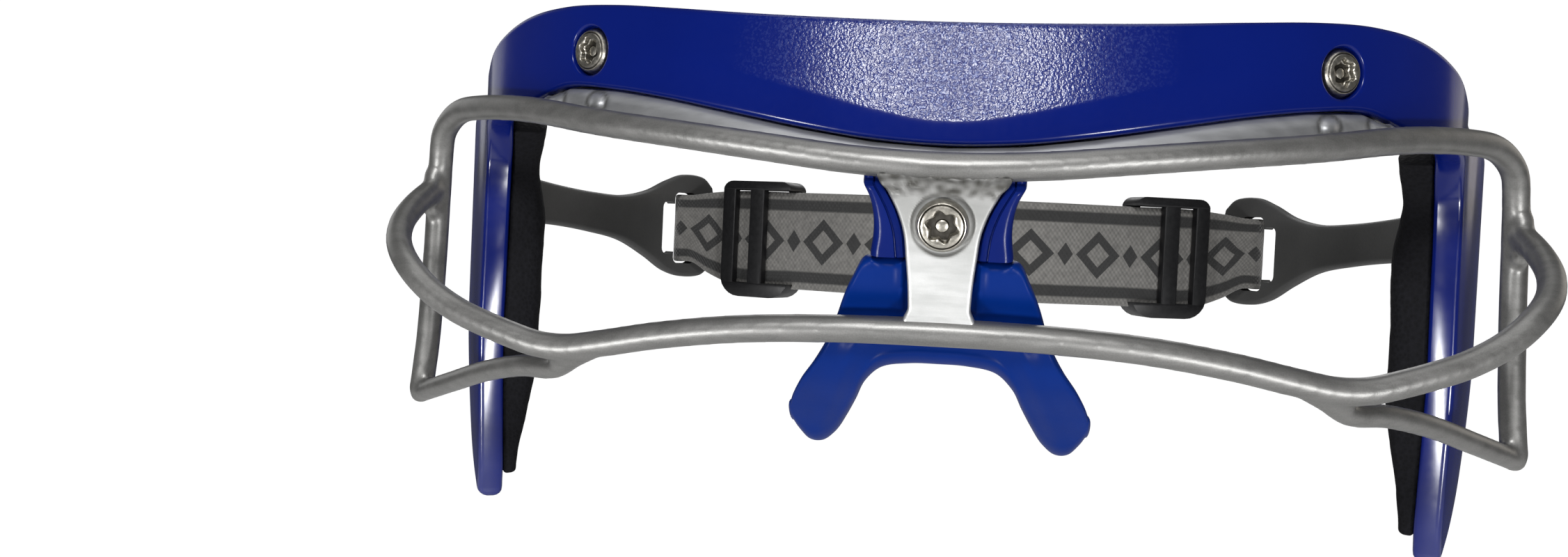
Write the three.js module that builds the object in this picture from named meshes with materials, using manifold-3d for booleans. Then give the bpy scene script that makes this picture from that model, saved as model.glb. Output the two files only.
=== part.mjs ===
// Wire-cage eye guard for field sports: a moulded brow shell with two temple legs, a welded wire
// cage in front of the eyes, a clip-on nose piece, two strap arms and an adjustable head strap.
// Millimetres. X to the right as seen from the front, Y towards the wearer, Z up. Left and right
// in the names are also as seen from the front.
// The origin is the middle of the nose saddle, where the goggles rest on the bridge of the nose.
import * as THREE from 'three';
import * as BufferGeometryUtils from 'three/addons/utils/BufferGeometryUtils.js';
import Module from 'manifold-3d';

const wasm = await Module();
wasm.setup();

// ---- driving dimensions -------------------------------------------------------------------

const GAP = 0.35;                        // clearance between pieces that touch

// The nose screw's centre, measured from the origin. The pieces are laid out from the screw.
const NOSE_SCREW = new THREE.Vector3(0, -10, 19.6);
const CAGE_TILT = THREE.MathUtils.degToRad(10.9);    // the cage leans forward at its top

// Plan of the shell's outer surface, right half: x, y, from the middle to the rear edge.
const SHELL_PLAN = [
  [0, 1], [20, 2.5], [40, 7.6], [53.5, 14.1], [65, 22.5], [73, 30.2],
  [76.4, 36.2], [79, 44], [82.2, 49.2], [84.6, 54], [85.9, 59.5], [86.3, 65], [86.4, 70],
];
const SHELL_THICK = 4.3;
const FACET_LEAN = 0.19;                 // the brow's upper facet leans back by this much
const FACET_FOOT = 13.7;                 // height of the facet's lower edge at the middle
const FACET_RISE = 0.34;                 // and how fast that edge climbs to the sides
const EDGE = 0.8;                        // chamfer along the shell's edges
// The band's outer edge and its window edge, right half: arc length from the middle, height.
const SHELL_EDGES = [
  [[0, 27.5], [0, 10.5]],
  [[10, 27.6], [10, 11]],
  [[20, 27.9], [20, 12.4]],
  [[30, 28.4], [30, 14.2]],
  [[41, 29.2], [41, 16.2]],
  [[52, 30], [51, 17.6]],
  [[62, 30.2], [61, 18.2]],
  [[72, 29.2], [69, 16.2]],
  [[82, 25.8], [78, 15]],
  [[92, 20.6], [86, 14]],
  [[102, 17.5], [91.5, 12]],
  [[110, 13.5], [94.6, 8.5]],
  [[115.5, 7.5], [95.5, 4]],
  [[117, -2], [96, -5]],
  [[115.5, -14], [96.6, -16]],
  [[112.5, -27], [97.6, -28]],
  [[109, -38], [99, -39]],
  [[106.5, -45], [100.5, -46]],
  [[104.5, -48.8], [102.3, -49.3]],
];
const LEG_FIRST = 10;                    // the first of those stations that belongs to the leg
const LEG_LEAN = 2.2;                    // the legs' feet stand this much closer to the middle
const LEAN_HEIGHTS = [-18, -49];         // heights where the lean starts and where it is full

// Wire cage, right half of each centreline.
const WIRE_R = 2;
const STRUT_R = 1.7;
const WIRE_OUT = 2.5;                    // the top bar runs this far in front of the shell
const TOP_BAR = [
  [0, 7.6], [12, 8.1], [24, 9.4], [36, 10.8], [48, 12.2], [54, 13], [60, 13.9], [66, 14.6], [71, 15],
];
const TOP_BEND = [
  [74, 26.8, 15.3], [78.8, 31.2, 15], [81.6, 34, 13.7], [83.6, 36, 11.4], [84.5, 37.6, 7.8],
  [85, 38.6, 3], [85.3, 38.9, -5], [85.5, 38.7, -13], [85.7, 38, -22], [86.1, 37.4, -28.6],
];
const LOWER_BAR = [
  [0, 3, -14.8], [14, 3.4, -15], [28, 4.7, -15.9], [40, 6.7, -17.6], [48, 8.1, -19.2],
  [54, 9.2, -20.2], [58.4, 9.9, -20], [62.4, 10.6, -19], [67, 11.6, -17.6], [72, 13, -15.8],
  [77, 14.4, -13], [80.8, 16, -9.8], [84, 19.8, -6.6], [85.6, 24.4, -3.6], [86, 30, -0.8], [85.7, 35.8, 1.6],
];
const STRUT = [[56.6, 13, -23.6], [62, 16, -23.9], [69, 21, -25.4], [78, 29.2, -28.5], [86.6, 37.6, -31.6]];

// Sheet-metal flange that carries the cage: it stands behind the brow.
const FLANGE_END = 66;
const FLANGE_THICK = 1.2;
const FLANGE_TOP = 3.6;                  // it stops this far below the brow's top edge

// Fasteners.
const BROW_SCREW_AT = [55.8, 23.3];      // arc length, height
const BROW_HEAD_R = 3.25;
const BROW_SHANK_R = 1.5;
const NUT_R = 3;
const NUT_LONG = 2.4;
const NOSE_HEAD_R = 3.6;
const NOSE_SHANK_R = 1.5;

// Nose plate, bracket and pad.
const PLATE_THICK = 1.5;
// Half widths of the plate down its height.
const PLATE_EDGE = [[8.1, 5.1], [7.2, 3.6], [6.1, 1.4], [5.2, -1.4], [4.8, -4.6], [4.4, -8.5], [4.2, -12.5]];
// Half widths of the bracket's horns outside, down to where the pad takes over.
const HORN_EDGE = [[10.9, 5.2], [9.9, 3.2], [9.4, 1], [9.3, -1.6], [9.6, -4.2]];
const TONGUE_HALF = 4.2;
const TONGUE_FOOT = -10.5;
const BRACKET_BACK = 4.6;
// Pad: half width, top and bottom heights at stations from the middle to the lobe's edge.
const PAD_STATIONS = [
  [0, -4.7, -19.6], [4, -4.7, -19.7], [8, -4.7, -20.5], [10.4, -4.7, -22.8], [12, -7.4, -26],
  [13.6, -11, -29], [15.4, -16.2, -31.8], [17.4, -19.8, -33.4], [19.4, -22.6, -33.2], [20.9, -25.2, -31.4],
  [21.5, -26.6, -30.2],
];
// Front surface of the pad: depth at a height.
const PAD_FRONT = [
  [-4.7, 2], [-9, 2.95], [-12.4, 5.6], [-18, 6.4], [-22, 9.4], [-27, 15.5], [-31, 20.5], [-34, 23.6],
];
const PAD_THICK = 5;

// Foam pads.
const FOAM = 5;
const BROW_FOAM_START = 6.3;             // it clears the flange behind the shell
const SIDE_FOAM_START = SHELL_THICK + 0.7;

// Strap arms, right side, plan of the middle of the plate with the edge heights there.
const PIN = [82.6, 68.4];
const PIN_R = 1.1;
const KNUCKLE_R = 2.9;
const KNUCKLE = [-2.2, 6.6];             // foot and top of the arm's knuckle
const LUG_HEIGHT = 2.6;
const ARM = [
  [82.6, 68.4, -2.2, 6.6], [80.8, 73.6, -2.6, 5.9], [77.3, 82, -3, 4.8], [73.4, 91.5, -4, 4],
  [69.4, 101, -5.6, 3.8], [65.9, 109, -8.8, 5.2], [62.9, 114.2, -11.8, 7.6], [60.2, 117.4, -12.9, 9],
  [56.87, 120.98, -12.6, 8.6], [55.4, 122.56, -11, 6.8],
];
const ARM_THICK = 2.8;
const SLOT_CENTRE = [60.2, 117.4];
const SLOT_WIDE = 5.6;
const SLOT_TALL = 15.2;
const SLOT_Z = -2.5;
const EASE_WIDE = 5;                     // the slot goes on outboard of the strap, less tall
const EASE_TALL = 11.2;
const EASE_SHIFT = 4.9;
const STRAP_Z = -4.1;                    // height of the strap's middle line
const BAR_CENTRE = [56.87, 120.98];      // the arm's end bar, which the strap pivots on

// Strap, right half, plan of the webbing's middle: x, y, webbing width.
const WEB = 1.5;
const WEB_WIDE = 20;
const LOOP_WIDE = 14.4;
const STRAIGHT_FROM = [20, 101.2];
const SLIDER_AT = 41;
const LOOP = [
  [57.2, 116.19], [60.2, 117.4], [61.3, 119.6], [61.3, 122.6], [59.9, 125], [57.4, 126.1], [54.6, 125.3],
];
const TAIL = [[53.4, 124.2], [50.6, 120.9], [46.8, 117.3], [42.5, 114.6], [35.2, 111.8]];

// Slider.
const SLIDER_LONG = 16.6;
const SLIDER_TALL = 24.2;
const SLIDER_RAIL = 1.7;
const SLIDER_BAR = 3.2;
const SLIDER_BAR_THICK = 2.05;

// ---- colours ------------------------------------------------------------------------------

const LOOKS = {
  blue: { color: 0x1a2f7a, roughness: 0.3, metalness: 0 },
  silicone: { color: 0x16357f, roughness: 0.5, metalness: 0 },
  silver: { color: 0x8f8f8c, roughness: 0.38, metalness: 0.75 },
  steel: { color: 0xa39a8c, roughness: 0.28, metalness: 1 },
  foam: { color: 0x17171a, roughness: 0.9, metalness: 0 },
  armGrey: { color: 0x424241, roughness: 0.6, metalness: 0 },
  webbing: { color: 0x77777a, roughness: 0.9, metalness: 0 },
  black: { color: 0x121214, roughness: 0.45, metalness: 0 },
};

const goggles = new THREE.Group();
goggles.position.copy(NOSE_SCREW);

function add(name, geometry, look, parent = goggles) {
  const material = new THREE.MeshStandardMaterial({ ...LOOKS[look], flatShading: true });
  const mesh = new THREE.Mesh(geometry, material);
  mesh.name = name;
  parent.add(mesh);
  return mesh;
}

// ---- geometry helpers ---------------------------------------------------------------------

function weld(geometry) {
  const bare = geometry.index ? geometry.toNonIndexed() : geometry.clone();
  bare.deleteAttribute('normal');
  bare.deleteAttribute('uv');
  return BufferGeometryUtils.mergeVertices(bare, 1e-4);
}

function toSolid(geometry) {
  const bare = weld(geometry);
  const vertProperties = new Float32Array(bare.attributes.position.array);
  const triVerts = new Uint32Array(bare.index.array);
  return new wasm.Manifold(new wasm.Mesh({ numProp: 3, vertProperties, triVerts }));
}

function toGeometry(solid) {
  const mesh = solid.getMesh();
  const geometry = new THREE.BufferGeometry();
  geometry.setAttribute('position', new THREE.BufferAttribute(new Float32Array(mesh.vertProperties), 3));
  geometry.setIndex(new THREE.BufferAttribute(new Uint32Array(mesh.triVerts), 1));
  return geometry;
}

function union(...geometries) {
  return toGeometry(geometries.map(toSolid).reduce((whole, next) => whole.add(next)));
}

function cut(geometry, ...tools) {
  return toGeometry(tools.map(toSolid).reduce((whole, tool) => whole.subtract(tool), toSolid(geometry)));
}

// A closed body through rings of equal length. The first half of each ring runs along one face
// and the second half comes back along the other, so the two end caps are zipped across.
function loft(rings) {
  const count = rings[0].length;
  const half = count / 2;
  const positions = rings.flat().flatMap((p) => [p.x, p.y, p.z]);
  const index = [];
  for (let r = 0; r + 1 < rings.length; r += 1) {
    for (let i = 0; i < count; i += 1) {
      const j = (i + 1) % count;
      const [a, b, c, d] = [r * count + i, r * count + j, (r + 1) * count + j, (r + 1) * count + i];
      index.push(a, b, c, a, c, d);
    }
  }
  const last = (rings.length - 1) * count;
  for (let i = 0; i + 1 < half; i += 1) {
    const [a, b, c, d] = [i, i + 1, count - 2 - i, count - 1 - i];
    index.push(a, c, b, a, d, c);
    index.push(last + a, last + b, last + c, last + a, last + c, last + d);
  }
  const geometry = new THREE.BufferGeometry();
  geometry.setAttribute('position', new THREE.Float32BufferAttribute(positions, 3));
  geometry.setIndex(index);
  return facingOut(weld(geometry));
}

function signedVolume(geometry) {
  const p = geometry.attributes.position;
  const corners = [new THREE.Vector3(), new THREE.Vector3(), new THREE.Vector3()];
  let volume = 0;
  for (let i = 0; i < geometry.index.count; i += 3) {
    corners.forEach((corner, k) => corner.fromBufferAttribute(p, geometry.index.getX(i + k)));
    volume += corners[0].dot(corners[1].clone().cross(corners[2])) / 6;
  }
  return volume;
}

function flipped(geometry) {
  const turned = geometry.clone();
  const index = turned.index;
  for (let i = 0; i < index.count; i += 3) {
    const b = index.getX(i + 1);
    index.setX(i + 1, index.getX(i + 2));
    index.setX(i + 2, b);
  }
  return turned;
}

function facingOut(geometry) {
  return signedVolume(geometry) < 0 ? flipped(geometry) : geometry;
}

function mirrored(geometry) {
  const copy = weld(geometry);
  copy.scale(-1, 1, 1);
  return flipped(copy);
}

function rod(points, radius, sides, steps) {
  const section = new THREE.Shape().absarc(0, 0, radius, 0, 2 * Math.PI);
  const path = new THREE.CatmullRomCurve3(points.map((p) => new THREE.Vector3(...p)));
  return facingOut(weld(new THREE.ExtrudeGeometry(section, {
    steps, curveSegments: sides, bevelEnabled: false, extrudePath: path,
  })));
}

function bothSides(points) {
  const left = points.slice(1).reverse().map(([x, ...rest]) => [-x, ...rest]);
  return [...left, ...points];
}

// A cylinder with its axis along a direction, from one distance to another along it.
function drum(centre, direction, radius, from, to, sides = 20) {
  const geometry = new THREE.CylinderGeometry(radius, radius, to - from, sides);
  const turn = new THREE.Quaternion().setFromUnitVectors(new THREE.Vector3(0, 1, 0), direction);
  geometry.applyQuaternion(turn);
  const middle = centre.clone().addScaledVector(direction, (from + to) / 2);
  return geometry.translate(middle.x, middle.y, middle.z);
}

// Reads a value between rows of a table that is sorted by its first column.
function between(table, at, column = 1) {
  const rising = table[0][0] < table[table.length - 1][0];
  const rows = rising ? table : [...table].reverse();
  const k = Math.max(0, Math.min(rows.length - 2, rows.findIndex((row) => row[0] > at) - 1));
  const last = at >= rows[rows.length - 1][0] ? rows.length - 2 : k;
  const [a, b] = [rows[last], rows[last + 1]];
  const t = THREE.MathUtils.clamp((at - a[0]) / (b[0] - a[0]), 0, 1);
  return a[column] + t * (b[column] - a[column]);
}

// ---- the shell's curved surface -----------------------------------------------------------

const planPoints = bothSides(SHELL_PLAN).map(([x, y]) => new THREE.Vector3(x, y, 0));
const planCurve = new THREE.CatmullRomCurve3(planPoints);
planCurve.arcLengthDivisions = 2000;
const planHalf = planCurve.getLength() / 2;

function legLean(arc, z) {
  const [top, foot] = LEAN_HEIGHTS;
  const share = THREE.MathUtils.clamp((top - z) / (top - foot), 0, 1);
  return -Math.sign(arc) * LEG_LEAN * share ** 1.5;
}

// A point at an arc length from the middle, a height, and a depth behind the outer surface.
function onShell(arc, z, depth) {
  const u = THREE.MathUtils.clamp(0.5 + arc / (2 * planHalf), 0, 1);
  const p = planCurve.getPointAt(u);
  const t = planCurve.getTangentAt(u);
  return new THREE.Vector3(p.x - t.y * depth + legLean(arc, z), p.y + t.x * depth, z);
}

function outwardAt(arc) {
  const t = planCurve.getTangentAt(0.5 + arc / (2 * planHalf));
  return new THREE.Vector3(t.y, -t.x, 0);
}

function facetFoot(arc) {
  return FACET_FOOT + FACET_RISE * Math.abs(arc);
}

function mirroredStations(stations) {
  const flip = ([arc, z]) => [-arc, z];
  const left = stations.slice(1).reverse().map(([outer, inner]) => [flip(outer), flip(inner)]);
  return [...left, ...stations];
}

// A slab between two depths behind the outer surface, inside the band's outline less an inset.
function slab(stations, start, end, inset) {
  return loft(stations.map(([outer, inner]) => {
    const run = [outer[0] - inner[0], outer[1] - inner[1]];
    const long = Math.hypot(...run);
    const at = (share) => [inner[0] + run[0] * share, inner[1] + run[1] * share];
    const shares = [inset / long, 0.2, 0.4, 0.6, 0.8, 1 - inset / long];
    const near = shares.map((share) => onShell(...at(share), start));
    const far = shares.map((share) => onShell(...at(share), end)).reverse();
    return [...near, ...far];
  }));
}

// ---- brow shell with its temple legs ------------------------------------------------------

function shellRing([outer, inner]) {
  const arcAt = (share) => inner[0] + (outer[0] - inner[0]) * share;
  const zAt = (share) => inner[1] + (outer[1] - inner[1]) * share;
  const height = outer[1] - inner[1];
  const long = Math.hypot(outer[0] - inner[0], height);
  const edge = Math.min(0.3, EDGE / long);
  const foot = THREE.MathUtils.clamp((facetFoot(inner[0]) - inner[1]) / Math.max(height, 1), 0.3, 0.88);
  const brow = Math.abs(inner[0]) < 60;
  const lean = (share) => (brow ? Math.max(0, zAt(share) - facetFoot(arcAt(share))) * FACET_LEAN : 0);
  const point = (share, depth) => onShell(arcAt(share), zAt(share), depth);
  const front = [[0, EDGE], [edge, 0], [foot, 0], [(1 + foot) / 2, 0], [1 - edge, 0], [1, EDGE]];
  const outside = front.map(([share, depth]) => point(share, depth + lean(share)));
  const inside = [1, 0.8, 0.6, 0.4, 0.2, 0].map((share) => point(share, SHELL_THICK));
  return [...outside, ...inside];
}

const pinAt = (side, z) => new THREE.Vector3(side * PIN[0], PIN[1], z);
const UP = new THREE.Vector3(0, 0, 1);

// Lug on the shell's rear edge that holds one end of the arm's pin.
function lug(side, from, to) {
  const eye = drum(pinAt(side, 0), UP, KNUCKLE_R, from, to);
  const root = onShell(side * 113, 0, SHELL_THICK / 2);
  const neck = new THREE.BoxGeometry(4, 9, to - from);
  neck.translate((root.x + side * PIN[0]) / 2, (root.y + PIN[1]) / 2 - 0.6, (from + to) / 2);
  return union(eye, neck);
}

function makeShell() {
  const band = loft(mirroredStations(SHELL_EDGES).map(shellRing));
  const pieces = [band];
  for (const side of [-1, 1]) {
    pieces.push(lug(side, KNUCKLE[1] + GAP, KNUCKLE[1] + GAP + LUG_HEIGHT));
    pieces.push(lug(side, KNUCKLE[0] - GAP - LUG_HEIGHT, KNUCKLE[0] - GAP));
  }
  const whole = union(...pieces);
  const holes = [];
  for (const side of [-1, 1]) {
    const centre = onShell(side * BROW_SCREW_AT[0], BROW_SCREW_AT[1], 0);
    const out = outwardAt(side * BROW_SCREW_AT[0]);
    holes.push(drum(centre, out, BROW_SHANK_R + GAP, -8, 5, 16));
    holes.push(drum(centre, out, BROW_HEAD_R + GAP, -1.3, 5));
    holes.push(drum(pinAt(side, 0), UP, PIN_R + 0.3, -9, 12, 16));
  }
  return cut(whole, ...holes);
}

add('frame_shell', makeShell(), 'blue');

// ---- wire cage ----------------------------------------------------------------------------

const topWireZ = (arc) => between(TOP_BAR, Math.abs(arc));
const topHalf = [
  ...TOP_BAR.map(([arc, z]) => onShell(arc, z, -WIRE_OUT).toArray()),
  ...TOP_BEND,
];
add('upper_wire', rod(bothSides(topHalf), WIRE_R, 6, 90), 'silver');
add('lower_wire', rod(bothSides(LOWER_BAR), WIRE_R, 6, 84), 'silver');
const strut = rod(STRUT, STRUT_R, 6, 10);
add('right_strut', strut, 'silver');
add('left_strut', mirrored(strut), 'silver');

// Sheet flange: a lip against the back of the top bar, a shelf under the brow and a wall behind it.
function flangeRing(arc) {
  const wire = topWireZ(arc);
  const lower = between(SHELL_EDGES.map(([, inner]) => inner), Math.abs(arc));
  const upper = between(SHELL_EDGES.map(([outer]) => outer), Math.abs(arc)) - FLANGE_TOP;
  const wall = SHELL_THICK + GAP;
  const outline = [
    [0.05, wire - 0.2], [0.05, wire + 0.9], [wall, lower - GAP], [wall, upper],
    [wall + FLANGE_THICK, upper], [wall + FLANGE_THICK, lower - GAP - 1],
    [1.1, wire - 0.2], [0.6, wire - 0.2],
  ];
  return outline.map(([depth, z]) => onShell(arc, z, depth));
}

function makeFlange() {
  const steps = 22;
  const rings = [];
  for (let i = 0; i <= steps; i += 1) {
    rings.push(flangeRing(FLANGE_END * (2 * i / steps - 1)));
  }
  const holes = [-1, 1].map((side) => drum(
    onShell(side * BROW_SCREW_AT[0], BROW_SCREW_AT[1], 0), outwardAt(side * BROW_SCREW_AT[0]),
    BROW_SHANK_R + GAP, -10, 0, 16,
  ));
  return cut(loft(rings), ...holes);
}

add('brow_flange', makeFlange(), 'silver');

// ---- brow screws and their captive nuts ---------------------------------------------------

function headProfile(radius, tall) {
  return [
    [0, tall], [radius * 0.55, tall * 0.92], [radius * 0.86, tall * 0.62], [radius, tall * 0.2], [radius, 0],
  ];
}

// A round-headed screw along +Y, its head's seat at y 0 and its crown towards -Y.
function screwGeometry(headRadius, headTall, shankRadius, shankLong) {
  const outline = [
    ...headProfile(headRadius, headTall), [shankRadius, 0], [shankRadius, -shankLong], [0, -shankLong],
  ];
  const points = outline.map(([r, y]) => new THREE.Vector2(r, y)).reverse();
  const body = facingOut(weld(new THREE.LatheGeometry(points, 20)));
  const socket = new THREE.CylinderGeometry(headRadius * 0.5, headRadius * 0.42, headTall, 6);
  socket.translate(0, headTall, 0);
  const turned = cut(body, socket);
  return turned.applyMatrix4(new THREE.Matrix4().makeRotationX(Math.PI));
}

const NUT_START = SHELL_THICK + FLANGE_THICK + 2 * GAP;
for (const [side, name] of [[-1, 'left'], [1, 'right']]) {
  const out = outwardAt(side * BROW_SCREW_AT[0]);
  const seat = onShell(side * BROW_SCREW_AT[0], BROW_SCREW_AT[1], 1);
  const screw = screwGeometry(BROW_HEAD_R, 1.9, BROW_SHANK_R, NUT_START + NUT_LONG - 1);
  screw.applyQuaternion(new THREE.Quaternion().setFromUnitVectors(new THREE.Vector3(0, -1, 0), out));
  add(`${name}_brow_screw`, screw.translate(seat.x, seat.y, seat.z), 'steel');
  const surface = onShell(side * BROW_SCREW_AT[0], BROW_SCREW_AT[1], 0);
  const nut = drum(surface, out, NUT_R, -NUT_START - NUT_LONG, -NUT_START, 6);
  const bore = drum(surface, out, BROW_SHANK_R + 0.3, -12, 0, 16);
  add(`${name}_brow_nut`, cut(nut, bore), 'steel');
}

// ---- nose assembly, tilted with the cage --------------------------------------------------

const noseGroup = new THREE.Group();
noseGroup.rotation.x = CAGE_TILT;
goggles.add(noseGroup);

// An upright plate between two y planes from the right half of its outline.
function uprightPlate(halfOutline, from, to, holes = []) {
  const right = halfOutline.map(([x, z]) => new THREE.Vector2(x, z)).reverse();
  const left = halfOutline.map(([x, z]) => new THREE.Vector2(-x, z));
  const shape = new THREE.Shape([...right, ...left]);
  for (const [x, z, radius] of holes) {
    shape.holes.push(new THREE.Path().absarc(x, z, radius, 0, 2 * Math.PI, true));
  }
  const geometry = new THREE.ExtrudeGeometry(shape, {
    depth: to - from, bevelEnabled: false, curveSegments: 16,
  });
  geometry.rotateX(Math.PI / 2);
  return facingOut(weld(geometry.translate(0, to, 0)));
}

const SHANK_HOLE = [0, 0, NOSE_SHANK_R + GAP];
const plate = uprightPlate(PLATE_EDGE, -PLATE_THICK / 2, PLATE_THICK / 2, [SHANK_HOLE]);
add('nose_plate', plate, 'silver', noseGroup);

function hornGeometry(side) {
  const outer = HORN_EDGE.map(([x, z]) => new THREE.Vector2(side * x, z));
  const inner = HORN_EDGE.map(([, z]) => {
    const edge = between(PLATE_EDGE.map(([x, height]) => [height, x]), z);
    return new THREE.Vector2(side * (edge + GAP), z);
  }).reverse();
  const shape = new THREE.Shape([...outer, ...inner]);
  const geometry = new THREE.ExtrudeGeometry(shape, { depth: BRACKET_BACK + 0.6, bevelEnabled: false });
  geometry.rotateX(Math.PI / 2);
  return facingOut(weld(geometry.translate(0, BRACKET_BACK, 0)));
}

function bracketWeb(grow) {
  const web = uprightPlate([...HORN_EDGE.map(([x, z]) => [x - 0.01, z]), [9.6, -4.3]], 1.1, BRACKET_BACK);
  const tongue = uprightPlate(
    [[TONGUE_HALF + grow, -3], [TONGUE_HALF + grow, TONGUE_FOOT - grow]], 1.1 - grow, BRACKET_BACK + grow,
  );
  return [web, tongue];
}

const bracketBody = union(...bracketWeb(0), hornGeometry(-1), hornGeometry(1));
const shankBore = drum(new THREE.Vector3(), new THREE.Vector3(0, 1, 0), NOSE_SHANK_R + GAP, -2, 9, 16);
add('nose_bracket', cut(bracketBody, shankBore), 'blue', noseGroup);

const noseScrew = screwGeometry(NOSE_HEAD_R, 2, NOSE_SHANK_R, 8.4);
add('nose_screw', noseScrew.translate(0, -PLATE_THICK / 2 - GAP, 0), 'steel', noseGroup);
const nutFace = BRACKET_BACK + GAP;
const noseNut = drum(new THREE.Vector3(), new THREE.Vector3(0, 1, 0), NUT_R, nutFace, nutFace + NUT_LONG, 6);
const nutBore = drum(new THREE.Vector3(), new THREE.Vector3(0, 1, 0), NOSE_SHANK_R + 0.3, 2, 12, 16);
add('nose_nut', cut(noseNut, nutBore), 'steel', noseGroup);

// Soft pad: an upright body over the bracket's tongue that spreads into two splayed lobes.
function padRing([x, top, foot]) {
  const levels = [0, 0.25, 0.5, 0.75, 1].map((share) => top + (foot - top) * share);
  const round = (k) => (k === 0 || k === levels.length - 1 ? 1.1 : 0);
  const front = levels.map((z, k) => new THREE.Vector3(x, between(PAD_FRONT, z) + round(k), z));
  const back = front.map((p, k) => new THREE.Vector3(x, p.y + PAD_THICK - 2 * round(k), p.z)).reverse();
  return [...front, ...back];
}

function makePad() {
  const body = loft(bothSides(PAD_STATIONS).map(padRing));
  const pocket = bracketWeb(GAP)[1].clone().rotateX(CAGE_TILT);
  return cut(body, pocket);
}

add('nose_pad', makePad(), 'silicone');

// ---- foam pads ----------------------------------------------------------------------------

const browStations = mirroredStations(SHELL_EDGES.slice(0, 9));
const nutPockets = [-1, 1].map((side) => drum(
  onShell(side * BROW_SCREW_AT[0], BROW_SCREW_AT[1], 0), outwardAt(side * BROW_SCREW_AT[0]),
  NUT_R + GAP, -NUT_START - NUT_LONG - GAP, 0, 16,
));
add('brow_pad', cut(slab(browStations, BROW_FOAM_START, BROW_FOAM_START + FOAM, 1.4), ...nutPockets), 'foam');
const legStations = SHELL_EDGES.slice(LEG_FIRST, -1);
const rightPad = slab(legStations, SIDE_FOAM_START, SIDE_FOAM_START + FOAM, 0.7);
add('right_side_pad', rightPad, 'foam');
add('left_side_pad', mirrored(rightPad), 'foam');

// ---- strap arms and their pins ------------------------------------------------------------

function plateAlong(stations, thickness) {
  return loft(stations.map(([x, y, low, high], k) => {
    const [px, py] = stations[Math.max(0, k - 1)];
    const [nx, ny] = stations[Math.min(stations.length - 1, k + 1)];
    const along = new THREE.Vector2(nx - px, ny - py).normalize();
    const side = new THREE.Vector2(-along.y, along.x).multiplyScalar(thickness / 2);
    return [
      new THREE.Vector3(x + side.x, y + side.y, low), new THREE.Vector3(x + side.x, y + side.y, high),
      new THREE.Vector3(x - side.x, y - side.y, high), new THREE.Vector3(x - side.x, y - side.y, low),
    ];
  }));
}

function makeArm() {
  const knuckle = drum(pinAt(1, 0), UP, KNUCKLE_R, KNUCKLE[0], KNUCKLE[1]);
  const heading = Math.atan2(BAR_CENTRE[1] - SLOT_CENTRE[1], BAR_CENTRE[0] - SLOT_CENTRE[0]);
  const sizes = [[SLOT_WIDE, SLOT_TALL, 0], [EASE_WIDE, EASE_TALL, -EASE_SHIFT]];
  const openings = sizes.map(([wide, tall, shift]) => {
    const opening = new THREE.BoxGeometry(wide, 12, tall).translate(shift, 0, 0);
    return opening.rotateZ(heading).translate(SLOT_CENTRE[0], SLOT_CENTRE[1], SLOT_Z);
  });
  const bore = drum(pinAt(1, 0), UP, PIN_R + 0.3, -12, 12, 16);
  return cut(union(plateAlong(ARM, ARM_THICK), knuckle), ...openings, bore);
}

const arm = makeArm();
const pin = drum(pinAt(1, 0), UP, PIN_R, KNUCKLE[0] - GAP - LUG_HEIGHT, KNUCKLE[1] + GAP + LUG_HEIGHT, 16);
add('right_arm', arm, 'armGrey');
add('left_arm', mirrored(arm), 'armGrey');
add('right_arm_pin', pin, 'steel');
add('left_arm_pin', mirrored(pin), 'steel');

// ---- strap --------------------------------------------------------------------------------

// A flat ribbon that stands upright on a plan line. The width and the height of its middle can
// change along it: share is 0 where it is open and 1 where it is bunched up in the arm's slot.
function ribbon(plan, shareAt, openWidth) {
  return plateAlong(plan.map(([x, y], k) => {
    const half = THREE.MathUtils.lerp(openWidth, LOOP_WIDE, shareAt(k)) / 2;
    const middle = THREE.MathUtils.lerp(STRAP_Z, SLOT_Z, shareAt(k));
    return [x, y, middle - half, middle + half];
  }), WEB);
}

const strapHalf = [
  [0, 99.3], [7, 99.4], [14, 100], STRAIGHT_FROM, [33, 106.44], [46, 111.68], [53, 114.5], ...LOOP,
];
const strapPlan = bothSides(strapHalf);
const loopFrom = strapHalf.length - LOOP.length;
const fromMiddle = (k) => Math.abs(k - (strapHalf.length - 1));
const bunching = (k) => THREE.MathUtils.clamp((fromMiddle(k) - loopFrom + 2) / 2, 0, 1);
add('strap_webbing', ribbon(strapPlan, bunching, WEB_WIDE), 'webbing');
const tail = ribbon(TAIL, (k) => [1, 0.5][k] ?? 0, WEB_WIDE - 1);
add('right_strap_tail', tail, 'webbing');
add('left_strap_tail', mirrored(tail), 'webbing');

// ---- sliders ------------------------------------------------------------------------------

// Ladder slider: the bar nearest the middle of the strap is behind the webbing, the other two are
// in front of it. Each bar is given as its place along the slider and the side it is on.
const SLIDER_BARS = [[-1, 1], [0, -1], [1, -1]];

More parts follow.
